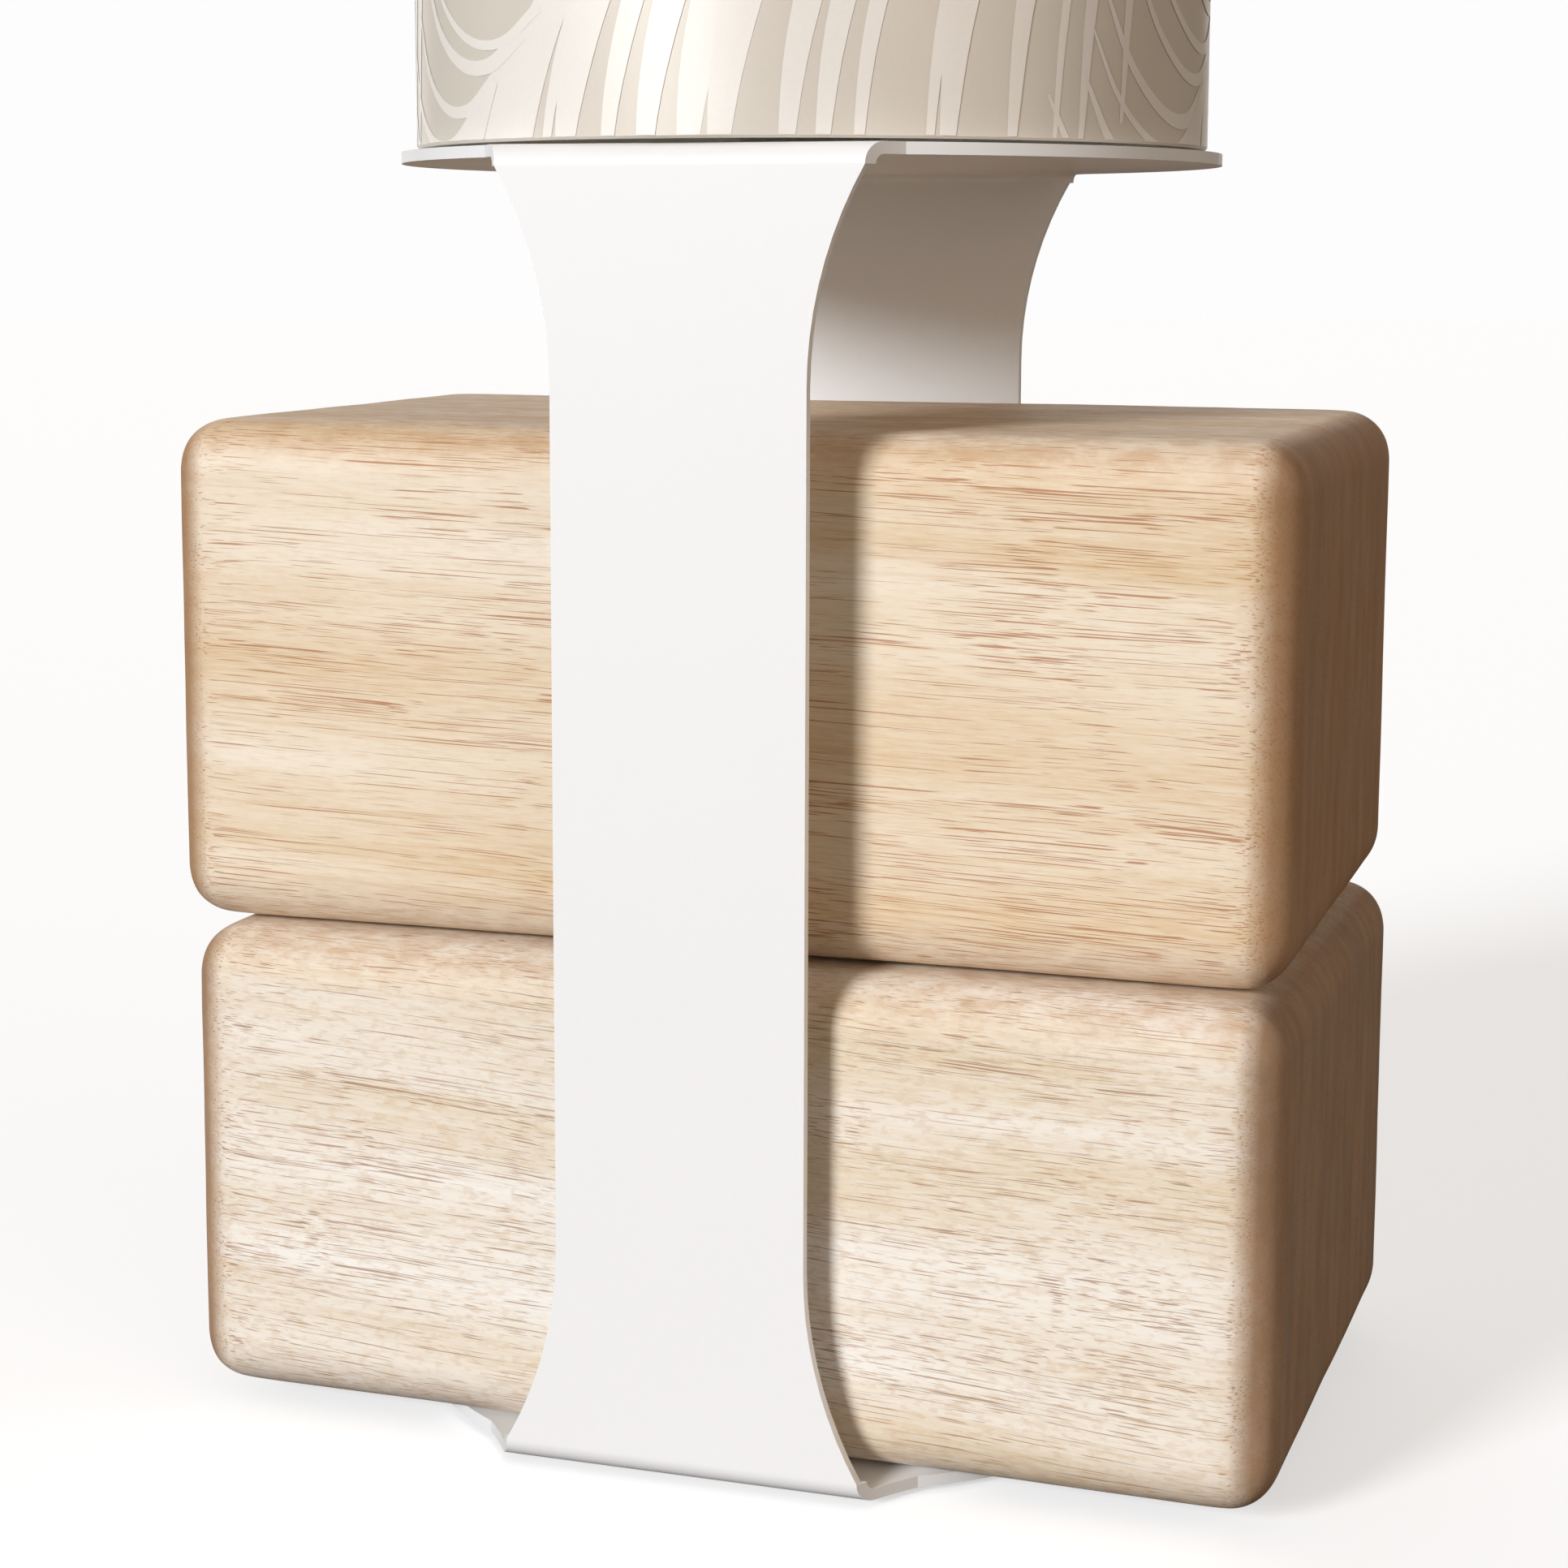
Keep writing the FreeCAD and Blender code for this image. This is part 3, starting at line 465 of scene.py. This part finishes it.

    # end grain drinks the oil and goes dark, and its dark tone is also painted shade on the end faces
    # and the edges rounding onto them; growth shows there as upright streaks, and cut pores as dots
    streaks = addNode(wood, "ShaderNodeMapping", None,
                      {"Vector": fibres, "Scale": [1 / size for size in grain["streaks"]]})
    streaks = addNode(wood, "ShaderNodeTexNoise", None,
                      {"Vector": streaks, "Scale": 1.0, "Detail": 3.0})
    streaks = addNode(wood, "ShaderNodeMapRange", {"interpolation_type": "SMOOTHSTEP"},
                      {"Value": streaks, "From Min": 0.30, "From Max": 0.70, "To Max": 0.36})
    endTone = addNode(wood, "ShaderNodeMix", {"data_type": "RGBA"},
                      {0: streaks, 6: linearColour(look["end"]), 7: linearColour(look["edge"])}, 2)
    dots = addNode(wood, "ShaderNodeMapping", None,
                   {"Vector": place, "Scale": [1 / size for size in grain["dots"]]})
    dots = addNode(wood, "ShaderNodeTexNoise", None, {"Vector": dots, "Scale": 1.0, "Detail": 1.0})
    dots = addNode(wood, "ShaderNodeMapRange", {"interpolation_type": "SMOOTHSTEP"},
                   {"Value": dots, "From Min": 0.56, "From Max": 0.70, "To Max": 0.5})
    endTone = addNode(wood, "ShaderNodeMix", {"data_type": "RGBA"},
                      {0: dots, 6: endTone, 7: linearColour(look["pore"])}, 2)
    # end grain tone, which is also painted shade on the ends and their rounded edges
    endGrain = addNode(wood, "ShaderNodeAttribute", {"attribute_name": "endGrain"}, None, "Fac")
    endGrain = addNode(wood, "ShaderNodeMath", {"operation": "MULTIPLY"}, {0: endGrain, 1: 0.86})
    tone = addNode(wood, "ShaderNodeMix", {"data_type": "RGBA"},
                   {0: endGrain, 6: tone, 7: endTone}, 2)
    link(wood, shader, "Base Color", tone)

    # open pores are rough and sunk; oil leaves the rest satin
    rough = addNode(wood, "ShaderNodeMapRange", None, {"Value": pores, "To Min": 0.58, "To Max": 0.85})
    link(wood, shader, "Roughness", rough)
    raised = addNode(wood, "ShaderNodeMath", {"operation": "MULTIPLY"}, {0: flecks, 1: 0.3})
    height = addNode(wood, "ShaderNodeMath", {"operation": "MULTIPLY_ADD"},
                     {0: pores, 1: -0.45, 2: raised})
    bump = addNode(wood, "ShaderNodeBump", None,
                   {"Strength": 0.35, "Distance": grain["relief"] * mm, "Height": height})
    link(wood, shader, "Normal", bump)
    return wood


for node, look in blocks.items():
    giveMaterial(makeBlock(node, look), makeWood(woods[node]))
print("blocks sanded and oiled")


shade = {
    "radius": 88.5, "bottom": 281.3, "top": 481.3, "sides": 256, "levels": 8,
    "paper": 0.28,  # thickness
    "corner": 0.5, "hem": 4.0, "lip": 0.3,  # where the paper turns in over the wire rings
    # the print's ribbons lie at a few heights, so that few that cross share a surface, and they stop
    # short of the edges
    "printLift": 0.06, "printSteps": 8, "printStep": 0.012, "printMargin": 0.6,
    # where the paper's end is glued over its start
    "lap": {"wide": 9, "proud": 0.30, "thick": 0.28, "gap": 0.7, "cellsAcross": 12, "cellsUp": 16},
}


def makeCover():
    # laminated paper rolled into a drum and turned in over the wire rings
    radius, low, high, levels = shade["radius"], shade["bottom"], shade["top"], shade["levels"]
    corner, hem, lip = shade["corner"], shade["hem"], shade["lip"]
    rings = [(radius - hem, low + lip), (radius - hem, low)]
    rings += [(radius - corner, low), (radius, low + corner)]
    rings += [(radius, low + (high - low) * k / levels) for k in range(1, levels)]
    rings += [(radius, high - corner), (radius - corner, high)]
    rings += [(radius - hem, high), (radius - hem, high - lip)]
    cover = growRings("shade_cover_paper", rings, shade["sides"], closed=False)
    modify(cover, "SOLIDIFY", thickness=shade["paper"] * mm, offset=-1)
    smooth(cover, 40)
    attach(cover, "shade")
    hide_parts("shade_cover")
    return cover


# The print's frond, laid out flat: u runs round the drum from the middle of its front towards +X,
# v up from its lower edge, both in mm. It has a stem through a few points, and tapered barbs that
# leave it on both sides, curling up on the left and hanging down on the right.
frond = {
    "stem": [(-68, -10), (-49, 10), (-25, 34), (10, 66), (50, 94), (92, 114), (128, 124), (162, 129)],
    "stemSteps": 70, "stemTip": 0.8, "stemSwell": 3.4, "stemTaper": 0.8,
    "seed": 21,
    "repeats": 3,  # times round the drum
    # where each row starts, u and v, and how far its barbs hang
    "rows": [(0, 0, 128), (93, 94, 74), (0, 186, 60)],
    # stray is how far along from its even place a barb may start, bends are its line as shares of its
    # length, widths is how its width varies, and order is the first height that it lies at. The last
    # few lower barbs are cut short.
    "upper": {
        "count": 20, "stray": (0.1, 0.6),
        "length": 58, "atTips": 0.72, "inMiddle": 0.28, "lengths": (0.9, 1.1),
        "bends": ((-0.22, -0.13), (-0.46, -0.11), (-0.70, 0.06), (-0.88, 0.36)), "steps": 20,
        "width": 3.0, "widths": (0.7, 1.3), "tip": 0.3, "taper": 0.5, "order": 1,
    },
    "lower": {
        "count": 25, "stray": (0.1, 0.7),
        "extra": 14, "lastFrom": 0.93, "lastOver": 0.07, "lastCut": 0.7,
        "bends": ((-0.15, -0.20), (-0.27, -0.44), (-0.35, -0.72), (-0.38, -1.0)), "steps": 24,
        "width": 7.6, "widths": (0.28, 1.15), "tip": 0.4, "taper": 0.8, "start": 0.1, "swell": 0.86,
        "order": 3,
    },
}


def curveThrough(points, count):
    # even steps along a smooth curve through the points
    ends = [2 * Vector(points[0]) - Vector(points[1])] + [Vector(p) for p in points]
    ends.append(2 * ends[-1] - ends[-2])
    path = []
    spans = len(points) - 1
    for k in range(count):
        t = k / (count - 1) * spans
        i = min(int(t), spans - 1)
        t -= i
        a, b, c, d = ends[i:i + 4]
        bend = 2 * a - 5 * b + 4 * c - d
        twist = 3 * b - 3 * c + d - a
        path.append(0.5 * (2 * b + (c - a) * t + bend * t**2 + twist * t**3))
    return path


def ribbon(spine, widthAt, vertices, faces, order):
    # a flat ribbon along a line, four points across so that it can wrap round the drum
    start = len(vertices)
    lift = shade["printLift"] + order % shade["printSteps"] * shade["printStep"]
    for k, point in enumerate(spine):
        before, after = spine[max(0, k - 1)], spine[min(len(spine) - 1, k + 1)]
        way = (after - before).normalized()
        side = Vector((-way.y, way.x))
        width = widthAt(k / (len(spine) - 1))
        for share in (-0.5, -1 / 6, 1 / 6, 0.5):
            spot = point + side * width * share
            vertices.append((spot.x * mm, spot.y * mm, lift * mm))
    for k in range(len(spine) - 1):
        for j in range(3):
            a = start + 4 * k + j
            faces.append((a, a + 1, a + 5, a + 4))


def makePrint():
    rng = random.Random(frond["seed"])
    vertices, faces = [], []
    girth = 2 * math.pi * shade["radius"]
    places = [(u + girth * k / frond["repeats"], v, hang) for u, v, hang in frond["rows"]
              for k in range(frond["repeats"])]
    upper, lower = frond["upper"], frond["lower"]
    for u, v, hang in places:
        stem = curveThrough([(u + x, v + y) for x, y in frond["stem"]], frond["stemSteps"])
        last = len(stem) - 1
        ribbon(stem, lambda t: frond["stemTip"] + frond["stemSwell"] * (1 - t) ** frond["stemTaper"],
               vertices, faces, 0)
        for k in range(upper["count"]):  # out to the left, then curling up
            t = (k + rng.uniform(*upper["stray"])) / upper["count"]
            root = stem[int(t * last)]
            reach = upper["length"] * (upper["atTips"] + upper["inMiddle"] * math.sin(math.pi * t))
            reach = reach * rng.uniform(*upper["lengths"])
            spine = curveThrough([root] + [root + Vector(bend) * reach for bend in upper["bends"]],
                                 upper["steps"])
            widest = upper["width"] * rng.uniform(*upper["widths"])
            ribbon(spine, lambda s: upper["tip"] + widest * (1 - s) ** upper["taper"],
                   vertices, faces, upper["order"] + k)
        for k in range(lower["count"]):  # down and back a little, then hanging straight
            t = (k + rng.uniform(*lower["stray"])) / lower["count"]
            root = stem[int(t * last)]
            cut = lower["lastCut"] * max(0, (t - lower["lastFrom"]) / lower["lastOver"])
            reach = min(hang, root.y - v + lower["extra"]) * (1 - cut)
            spine = curveThrough([root] + [root + Vector(bend) * reach for bend in lower["bends"]],
                                 lower["steps"])
            widest = lower["width"] * rng.uniform(*lower["widths"])
            ribbon(spine, lambda s: lower["tip"] + widest * math.sin(
                math.pi * (lower["start"] + lower["swell"] * s)) ** lower["taper"],
                vertices, faces, lower["order"] + k)
    flat = bpy.data.meshes.new("shade_print")
    flat.from_pydata(vertices, [], faces)
    sheet = bpy.data.objects.new("shade_print", flat)
    bpy.context.scene.collection.objects.link(sheet)
    # trimmed level with the drum's two edges, as the paper is
    height, margin = shade["top"] - shade["bottom"], shade["printMargin"]
    workOn(sheet)
    bpy.ops.object.mode_set(mode="EDIT")
    for level, normal in ((margin, (0, -1, 0)), (height - margin, (0, 1, 0))):
        bpy.ops.mesh.select_all(action="SELECT")
        bpy.ops.mesh.bisect(plane_co=(0, level * mm, 0), plane_no=normal, clear_outer=True)
    bpy.ops.mesh.select_all(action="SELECT")
    bpy.ops.mesh.normals_make_consistent(inside=False)
    bpy.ops.object.mode_set(mode="OBJECT")
    # wrapped on the drum
    for v in sheet.data.vertices:
        radius = shade["radius"] * mm + v.co.z
        angle = v.co.x / (shade["radius"] * mm)
        v.co = (radius * math.sin(angle), -radius * math.cos(angle), shade["bottom"] * mm + v.co.y)
    smooth(sheet, 60)
    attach(sheet, "shade")
    return sheet


def makeLap():
    deselectAll()
    lap, radius = shade["lap"], shade["radius"] * mm
    bpy.ops.mesh.primitive_grid_add(x_subdivisions=lap["cellsAcross"],
                                    y_subdivisions=lap["cellsUp"], size=1)
    strip = bpy.context.object
    strip.name = "shade_cover_lap"
    strip.scale = (lap["wide"] * mm, (shade["top"] - shade["bottom"] - 2 * lap["gap"]) * mm, 1)
    setDown(strip)
    middle = (shade["top"] + shade["bottom"]) / 2 * mm
    for v in strip.data.vertices:  # wrapped on the middle of the back
        angle = math.pi + v.co.x / radius
        reach = radius + lap["proud"] * mm
        v.co = (reach * math.sin(angle), -reach * math.cos(angle), middle + v.co.y)
    modify(strip, "SOLIDIFY", thickness=lap["thick"] * mm, offset=-1)
    smooth(strip, 40)
    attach(strip, "shade")
    return strip


cover = makeCover()
shadePrint = makePrint()
lap = makeLap()
print("shade rolled and printed")


# What the paper and its print need: two tones, how rough and how pearly they are.
papers = {
    # pearl wallpaper under gloss laminate: a greige ground that shines a little
    "laminated pearl wallpaper": {"colours": ("#DAD3C8", "#E1DBD1"), "roughness": 0.38, "pearl": 0.06,
                                  "pieces": [cover, lap]},
    # pearl ink printed on it: whiter and silkier than its ground
    "pearl printing ink": {"colours": ("#EFEBE5", "#F8F5F1"), "roughness": 0.42, "pearl": 0.06,
                           "pieces": [shadePrint]},
}
# Sizes in mm. Real paper fibres are finer, and are drawn this coarse so that they show.
laminate = {"fibres": 1.1, "clouds": 14, "relief": 0.03}


def makePaper(name, look):
    paper, shader = startMaterial(name, {"Roughness": look["roughness"], "Metallic": look["pearl"],
                                         "IOR": 1.5, "Coat Weight": 0.25, "Coat Roughness": 0.24,
                                         "Coat IOR": 1.5})
    place = addNode(paper, "ShaderNodeTexCoord", gives="Object")
    # paper fibres and a slight cloudiness of the ink
    fine = addNode(paper, "ShaderNodeTexNoise", None,
                   {"Vector": place, "Scale": 1000 / laminate["fibres"], "Detail": 3.0})
    broad = addNode(paper, "ShaderNodeTexNoise", None,
                    {"Vector": place, "Scale": 1000 / laminate["clouds"], "Detail": 2.0})
    mixed = addNode(paper, "ShaderNodeMath", {"operation": "MULTIPLY_ADD"},
                    {0: fine, 1: 0.55, 2: -0.05})
    share = addNode(paper, "ShaderNodeMath", {"operation": "MULTIPLY_ADD", "use_clamp": True},
                    {0: broad, 1: 0.6, 2: mixed})
    dark, pale = (linearColour(c) for c in look["colours"])
    tone = addNode(paper, "ShaderNodeMix", {"data_type": "RGBA"}, {0: share, 6: dark, 7: pale}, 2)
    link(paper, shader, "Base Color", tone)
    # the laminate is very slightly hammered
    bump = addNode(paper, "ShaderNodeBump", None,
                   {"Strength": 0.25, "Distance": laminate["relief"] * mm, "Height": broad})
    link(paper, shader, "Normal", bump)
    return paper


for name, look in papers.items():
    made = makePaper(name, look)
    for piece in look["pieces"]:
        giveMaterial(piece, made)


fitting = {
    "wire": 3.0, "ringRadius": 86.0, "ringLevel": 283.3,
    "spoke": [(86, 0, 283.3), (83, 0, 284.2), (60, 0, 293.2), (36, 0, 303.2), (30, 0, 304.9),
              (25.5, 0, 304.9)],
    "washerInner": 20.6, "washerOuter": 28.0, "washerThickness": 1.5, "seat": 306.5, "chamfer": 0.3,
}


def makeSpider():
    deselectAll()
    level, wire = fitting["ringLevel"] * mm, fitting["wire"] / 2 * mm
    bpy.ops.mesh.primitive_torus_add(major_segments=160, minor_segments=16, location=(0, 0, level),
                                     major_radius=fitting["ringRadius"] * mm, minor_radius=wire)
    pieces = [bpy.context.object]
    setDown(pieces[0])
    inner, outer, chamfer = fitting["washerInner"], fitting["washerOuter"], fitting["chamfer"]
    seat = fitting["seat"]
    top = seat + fitting["washerThickness"]
    rings = [(inner, seat), (outer - chamfer, seat), (outer, seat + chamfer)]
    rings += [(outer, top - chamfer), (outer - chamfer, top), (inner, top), (inner, seat)]
    pieces.append(growRings("washer", rings))
    spoke = wireAlong("spoke", fitting["spoke"], fitting["wire"])
    pieces.append(spoke)
    for angle in (120, 240):
        workOn(spoke)
        bpy.ops.object.duplicate()
        other = bpy.context.object
        other.rotation_euler = (0, 0, math.radians(angle))
        setDown(other)
        pieces.append(other)
    spider = joinAll("shade_spider_wires", pieces)
    smooth(spider, 40)
    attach(spider, "shade")
    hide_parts("shade_spider")
    return spider


def makeThread(name, radius, depth, pitch, low, high):
    # one wave of thread, wound round and up by the Screw modifier
    profile = bpy.data.meshes.new(name)
    steps, sides = 8, 64  # across the wave, and round each turn
    points = []
    for k in range(steps + 1):
        swell = math.sin(math.pi * k / steps) ** 1.2
        points.append(((radius - depth + depth * swell) * mm, 0, (low + pitch * k / steps) * mm))
    profile.from_pydata(points, [(k, k + 1) for k in range(steps)], [])
    piece = bpy.data.objects.new(name, profile)
    bpy.context.scene.collection.objects.link(piece)
    turns = max(1, int((high - low) / pitch) - 1)
    modify(piece, "SCREW", axis="Z", angle=2 * math.pi, screw_offset=pitch * mm, iterations=turns,
           steps=sides, render_steps=sides, use_merge_vertices=True, merge_threshold=0.00001)
    workOn(piece)
    bpy.ops.object.mode_set(mode="EDIT")
    bpy.ops.mesh.select_all(action="SELECT")
    bpy.ops.mesh.normals_make_consistent(inside=False)
    bpy.ops.object.mode_set(mode="OBJECT")
    return piece


# Moulded barrel of the lampholder, as (radius, level) from ring to ring. It has a flange, and above it
# a thread for the ring nut.
holder = {
    "rings": [
        (15.4, 294.5), (16.9, 294.5), (16.9, 300.5), (19.0, 300.5), (19.0, 304.2), (19.6, 304.5),
        (23.2, 304.5), (23.5, 304.8), (23.5, 306.2), (23.2, 306.5), (18.7, 306.5), (18.7, 335.9),
        (18.1, 336.5), (14.4, 336.5), (14.4, 334.7), (15.4, 334.7), (15.4, 294.5),
    ],
    "thread": {"radius": 19.6, "depth": 0.95, "pitch": 3.0, "low": 306.8, "high": 322.0},
}


def makeBarrel():
    body = growRings("barrel", holder["rings"])
    thread = makeThread("barrel thread", **holder["thread"])
    barrel = joinAll("holder_barrel_threaded", [body, thread])
    smooth(barrel, 38)
    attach(barrel, "root")
    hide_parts("holder_barrel")
    return barrel


# Rolled aluminium screw cap of the bulb: rim, three turns of thread and the taper to its globe.
screwCap = {
    "rings": [
        (12.0, 318.2), (12.5, 318.9), (12.2, 319.4), (12.2, 334.2), (12.9, 335.0), (13.1, 335.6),
        (13.1, 338.2), (12.6, 338.2), (12.6, 335.8), (11.7, 334.0), (11.7, 318.6), (12.0, 318.2),
    ],
    "thread": {"radius": 13.1, "depth": 1.0, "pitch": 3.6, "low": 319.2, "high": 334.6},
}


def makeBulbCap():
    body = growRings("cap", screwCap["rings"])
    thread = makeThread("cap thread", **screwCap["thread"])
    cap = joinAll("bulb_cap_threaded", [body, thread])
    smooth(cap, 38)
    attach(cap, "bulb")
    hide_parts("bulb_cap")
    return cap


spider = makeSpider()
barrel = makeBarrel()
bulbCap = makeBulbCap()
print("wires, lampholder and bulb cap made")


# What each needs: two tones, roughness, the size in mm of its fine relief, how strong and how many mm
# deep that is, its clear coat, and the pieces made of it.
finishes = {
    # powder coat baked on steel: glossy white with a fine orange peel
    "powder coated steel": {"colours": ("#F0F2F5", "#F3F5F8"), "roughness": 0.45, "speck": 1.3,
                            "bump": 0.12, "coat": 0.1, "depth": 0.02, "pieces": ["strap_frame"]},
    # pressed wool felt: dark, matt and hairy
    "pressed wool felt": {"colours": ("#3E3C38", "#5A5750"), "roughness": 0.95, "speck": 0.5,
                          "bump": 0.9, "coat": 0, "depth": 0.3, "pieces": ["base_felt"]},
    # styrene sheet laminated inside the shade: smooth, warm white
    "styrene sheet": {"colours": ("#EFECE5", "#F4F2EC"), "roughness": 0.38, "speck": 6.0, "bump": 0.08,
                      "coat": 0, "depth": 0.05, "pieces": ["shade_liner"]},
    # epoxy-dipped wire: white and slightly wavy
    "epoxy coated wire": {"colours": ("#E4E2DC", "#EFEDE8"), "roughness": 0.33, "speck": 2.0,
                          "bump": 0.2, "coat": 0.2, "depth": 0.05, "pieces": ["shade_top_ring", spider]},
    # moulded thermoplastic: off-white, fine spark-eroded grain
    "moulded thermoplastic": {"colours": ("#E6E3DA", "#EEECE5"), "roughness": 0.40, "speck": 0.45,
                              "bump": 0.25, "coat": 0, "depth": 0.03,
                              "pieces": ["shade_ring_nut", "holder_cap", barrel]},
    # fired porcelain without glaze: chalky, pale
    "unglazed porcelain": {"colours": ("#E2DDD1", "#F0ECE3"), "roughness": 0.75, "speck": 0.6,
                           "bump": 0.3, "coat": 0, "depth": 0.05, "pieces": ["contact_carrier"]},
    # moulded plastic of the bulb's body: bright white, satin
    "moulded polycarbonate": {"colours": ("#EDEDEB", "#F6F6F5"), "roughness": 0.30, "speck": 0.8,
                              "bump": 0.12, "coat": 0.1, "depth": 0.03, "pieces": ["bulb_body"]},
    # black plastic of the cord bush
    "moulded nylon": {"colours": ("#161616", "#232322"), "roughness": 0.45, "speck": 0.5, "bump": 0.3,
                      "coat": 0, "depth": 0.04, "pieces": ["cord_bush"]},
    # black glass insulator under the bulb's cap: deep gloss
    "black glass": {"colours": ("#0B0B0E", "#15151A"), "roughness": 0.08, "speck": 3.0, "bump": 0.1,
                    "coat": 0.4, "depth": 0.05, "pieces": ["bulb_insulator"]},
    # white solder mask on a circuit board
    "solder mask": {"colours": ("#E2E2D8", "#EDEDE6"), "roughness": 0.35, "speck": 1.2, "bump": 0.2,
                    "coat": 0.2, "depth": 0.03, "pieces": ["led_board", "driver_board"]},
    # phosphor gel over the chips: yellow, soft gloss
    "phosphor gel": {"colours": ("#E2C13C", "#EFD45E"), "roughness": 0.25, "speck": 0.5, "bump": 0.2,
                     "coat": 0.3, "depth": 0.03, "pieces": ["led_chips"]},
}
metals = {
    # zinc plate, rolled and dulled: bluish grey with faint draw lines
    "zinc plated steel": {"colours": ("#A9ABAC", "#C6C8C9"), "roughness": 0.34, "stretch": (1, 1, 9),
                          "pieces": ["threaded_nipple", "lower_washer", "lower_locknut", "upper_locknut",
                                     "earth_tag", "terminal_screws", "bulb_contact"]},
    # drawn brass, bright with darker handling marks
    "drawn brass": {"colours": ("#C9A55A", "#DDBE78"), "roughness": 0.28, "stretch": (1, 7, 1),
                    "pieces": ["centre_contact", "terminal_blocks"]},
    # nickelled brass shell: warm silver
    "nickelled brass": {"colours": ("#C9BD9B", "#DCD2B4"), "roughness": 0.24, "stretch": (1, 1, 6),
                        "pieces": ["screw_shell"]},
    # rolled aluminium of the bulb's cap: pale, brushed round by the rolling
    "rolled aluminium": {"colours": ("#BFC0C0", "#D6D7D7"), "roughness": 0.30, "stretch": (1, 1, 12),
                         "pieces": [bulbCap]},
}
# Sizes in mm of what they share: handling marks, the lines that rolling leaves in metal and how deep
# they are, and the clouds in it.
shared = {"handling": 45, "rolled": 2.2, "rolledDepth": 0.03, "dulled": 6}


def makeFinish(name, look):
    made, shader = startMaterial(name, {"Roughness": look["roughness"], "IOR": 1.5,
                                        "Coat Weight": look["coat"], "Coat Roughness": 0.12})
    place = addNode(made, "ShaderNodeTexCoord", gives="Object")
    fine = addNode(made, "ShaderNodeTexNoise", None,
                   {"Vector": place, "Scale": 1000 / look["speck"], "Detail": 2.0})
    broad = addNode(made, "ShaderNodeTexNoise", None,
                    {"Vector": place, "Scale": 1000 / shared["handling"], "Detail": 3.0})
    share = addNode(made, "ShaderNodeMath", {"operation": "MULTIPLY"}, {0: fine, 1: 0.5})
    share = addNode(made, "ShaderNodeMath", {"operation": "MULTIPLY_ADD", "use_clamp": True},
                    {0: broad, 1: 0.5, 2: share})
    dark, pale = (linearColour(c) for c in look["colours"])
    tone = addNode(made, "ShaderNodeMix", {"data_type": "RGBA"}, {0: share, 6: dark, 7: pale}, 2)
    link(made, shader, "Base Color", tone)
    # handling leaves faintly duller patches
    rough = addNode(made, "ShaderNodeMapRange", None,
                    {"Value": broad, "From Min": 0.3, "From Max": 0.7,
                     "To Min": look["roughness"] * 0.96, "To Max": look["roughness"] * 1.05})
    link(made, shader, "Roughness", rough)
    bump = addNode(made, "ShaderNodeBump", None,
                   {"Strength": look["bump"], "Distance": look["depth"] * mm, "Height": fine})
    link(made, shader, "Normal", bump)
    return made


def makeMetal(name, look):
    made, shader = startMaterial(name, {"Metallic": 1.0, "Roughness": look["roughness"]})
    place = addNode(made, "ShaderNodeTexCoord", gives="Object")
    drawn = addNode(made, "ShaderNodeMapping", None, {"Vector": place, "Scale": look["stretch"]})
    lines = addNode(made, "ShaderNodeTexNoise", None,
                    {"Vector": drawn, "Scale": 1000 / shared["rolled"], "Detail": 3.0})
    clouds = addNode(made, "ShaderNodeTexNoise", None,
                     {"Vector": place, "Scale": 1000 / shared["dulled"], "Detail": 2.0})
    dark, pale = (linearColour(c) for c in look["colours"])
    tone = addNode(made, "ShaderNodeMix", {"data_type": "RGBA"}, {0: clouds, 6: dark, 7: pale}, 2)
    link(made, shader, "Base Color", tone)
    rough = addNode(made, "ShaderNodeMapRange", None,
                    {"Value": lines, "From Min": 0.3, "From Max": 0.7,
                     "To Min": look["roughness"] * 0.75, "To Max": look["roughness"] * 1.3})
    link(made, shader, "Roughness", rough)
    bump = addNode(made, "ShaderNodeBump", None,
                   {"Strength": 0.2, "Distance": shared["rolledDepth"] * mm, "Height": lines})
    link(made, shader, "Normal", bump)
    return made


# Opal polycarbonate of the bulb's globe: light goes in and comes out soft. Sizes in mm.
opal = {"colours": ("#F1F0EA", "#FAFAF6"), "clouds": 9, "grain": 0.7, "depth": 0.02}


def makeOpal():
    made, shader = startMaterial("opal polycarbonate", {
        "Roughness": 0.32, "IOR": 1.58, "Subsurface Weight": 0.35, "Subsurface Scale": 0.004,
        "Subsurface Radius": (1.0, 0.9, 0.8)})
    place = addNode(made, "ShaderNodeTexCoord", gives="Object")
    clouds = addNode(made, "ShaderNodeTexNoise", None,
                     {"Vector": place, "Scale": 1000 / opal["clouds"], "Detail": 2.0})
    dark, pale = (linearColour(c) for c in opal["colours"])
    tone = addNode(made, "ShaderNodeMix", {"data_type": "RGBA"}, {0: clouds, 6: dark, 7: pale}, 2)
    link(made, shader, "Base Color", tone)
    fine = addNode(made, "ShaderNodeTexNoise", None,
                   {"Vector": place, "Scale": 1000 / opal["grain"], "Detail": 2.0})
    bump = addNode(made, "ShaderNodeBump", None,
                   {"Strength": 0.15, "Distance": opal["depth"] * mm, "Height": fine})
    link(made, shader, "Normal", bump)
    return made


for makes, looks in ((makeFinish, finishes), (makeMetal, metals)):
    for name, look in looks.items():
        made = makes(name, look)
        for piece in look["pieces"]:  # a node's name, or a piece made above
            giveMaterial(nodes[piece] if isinstance(piece, str) else piece, made)
giveMaterial(nodes["bulb_globe"], makeOpal())
print("materials made")

deselectAll()
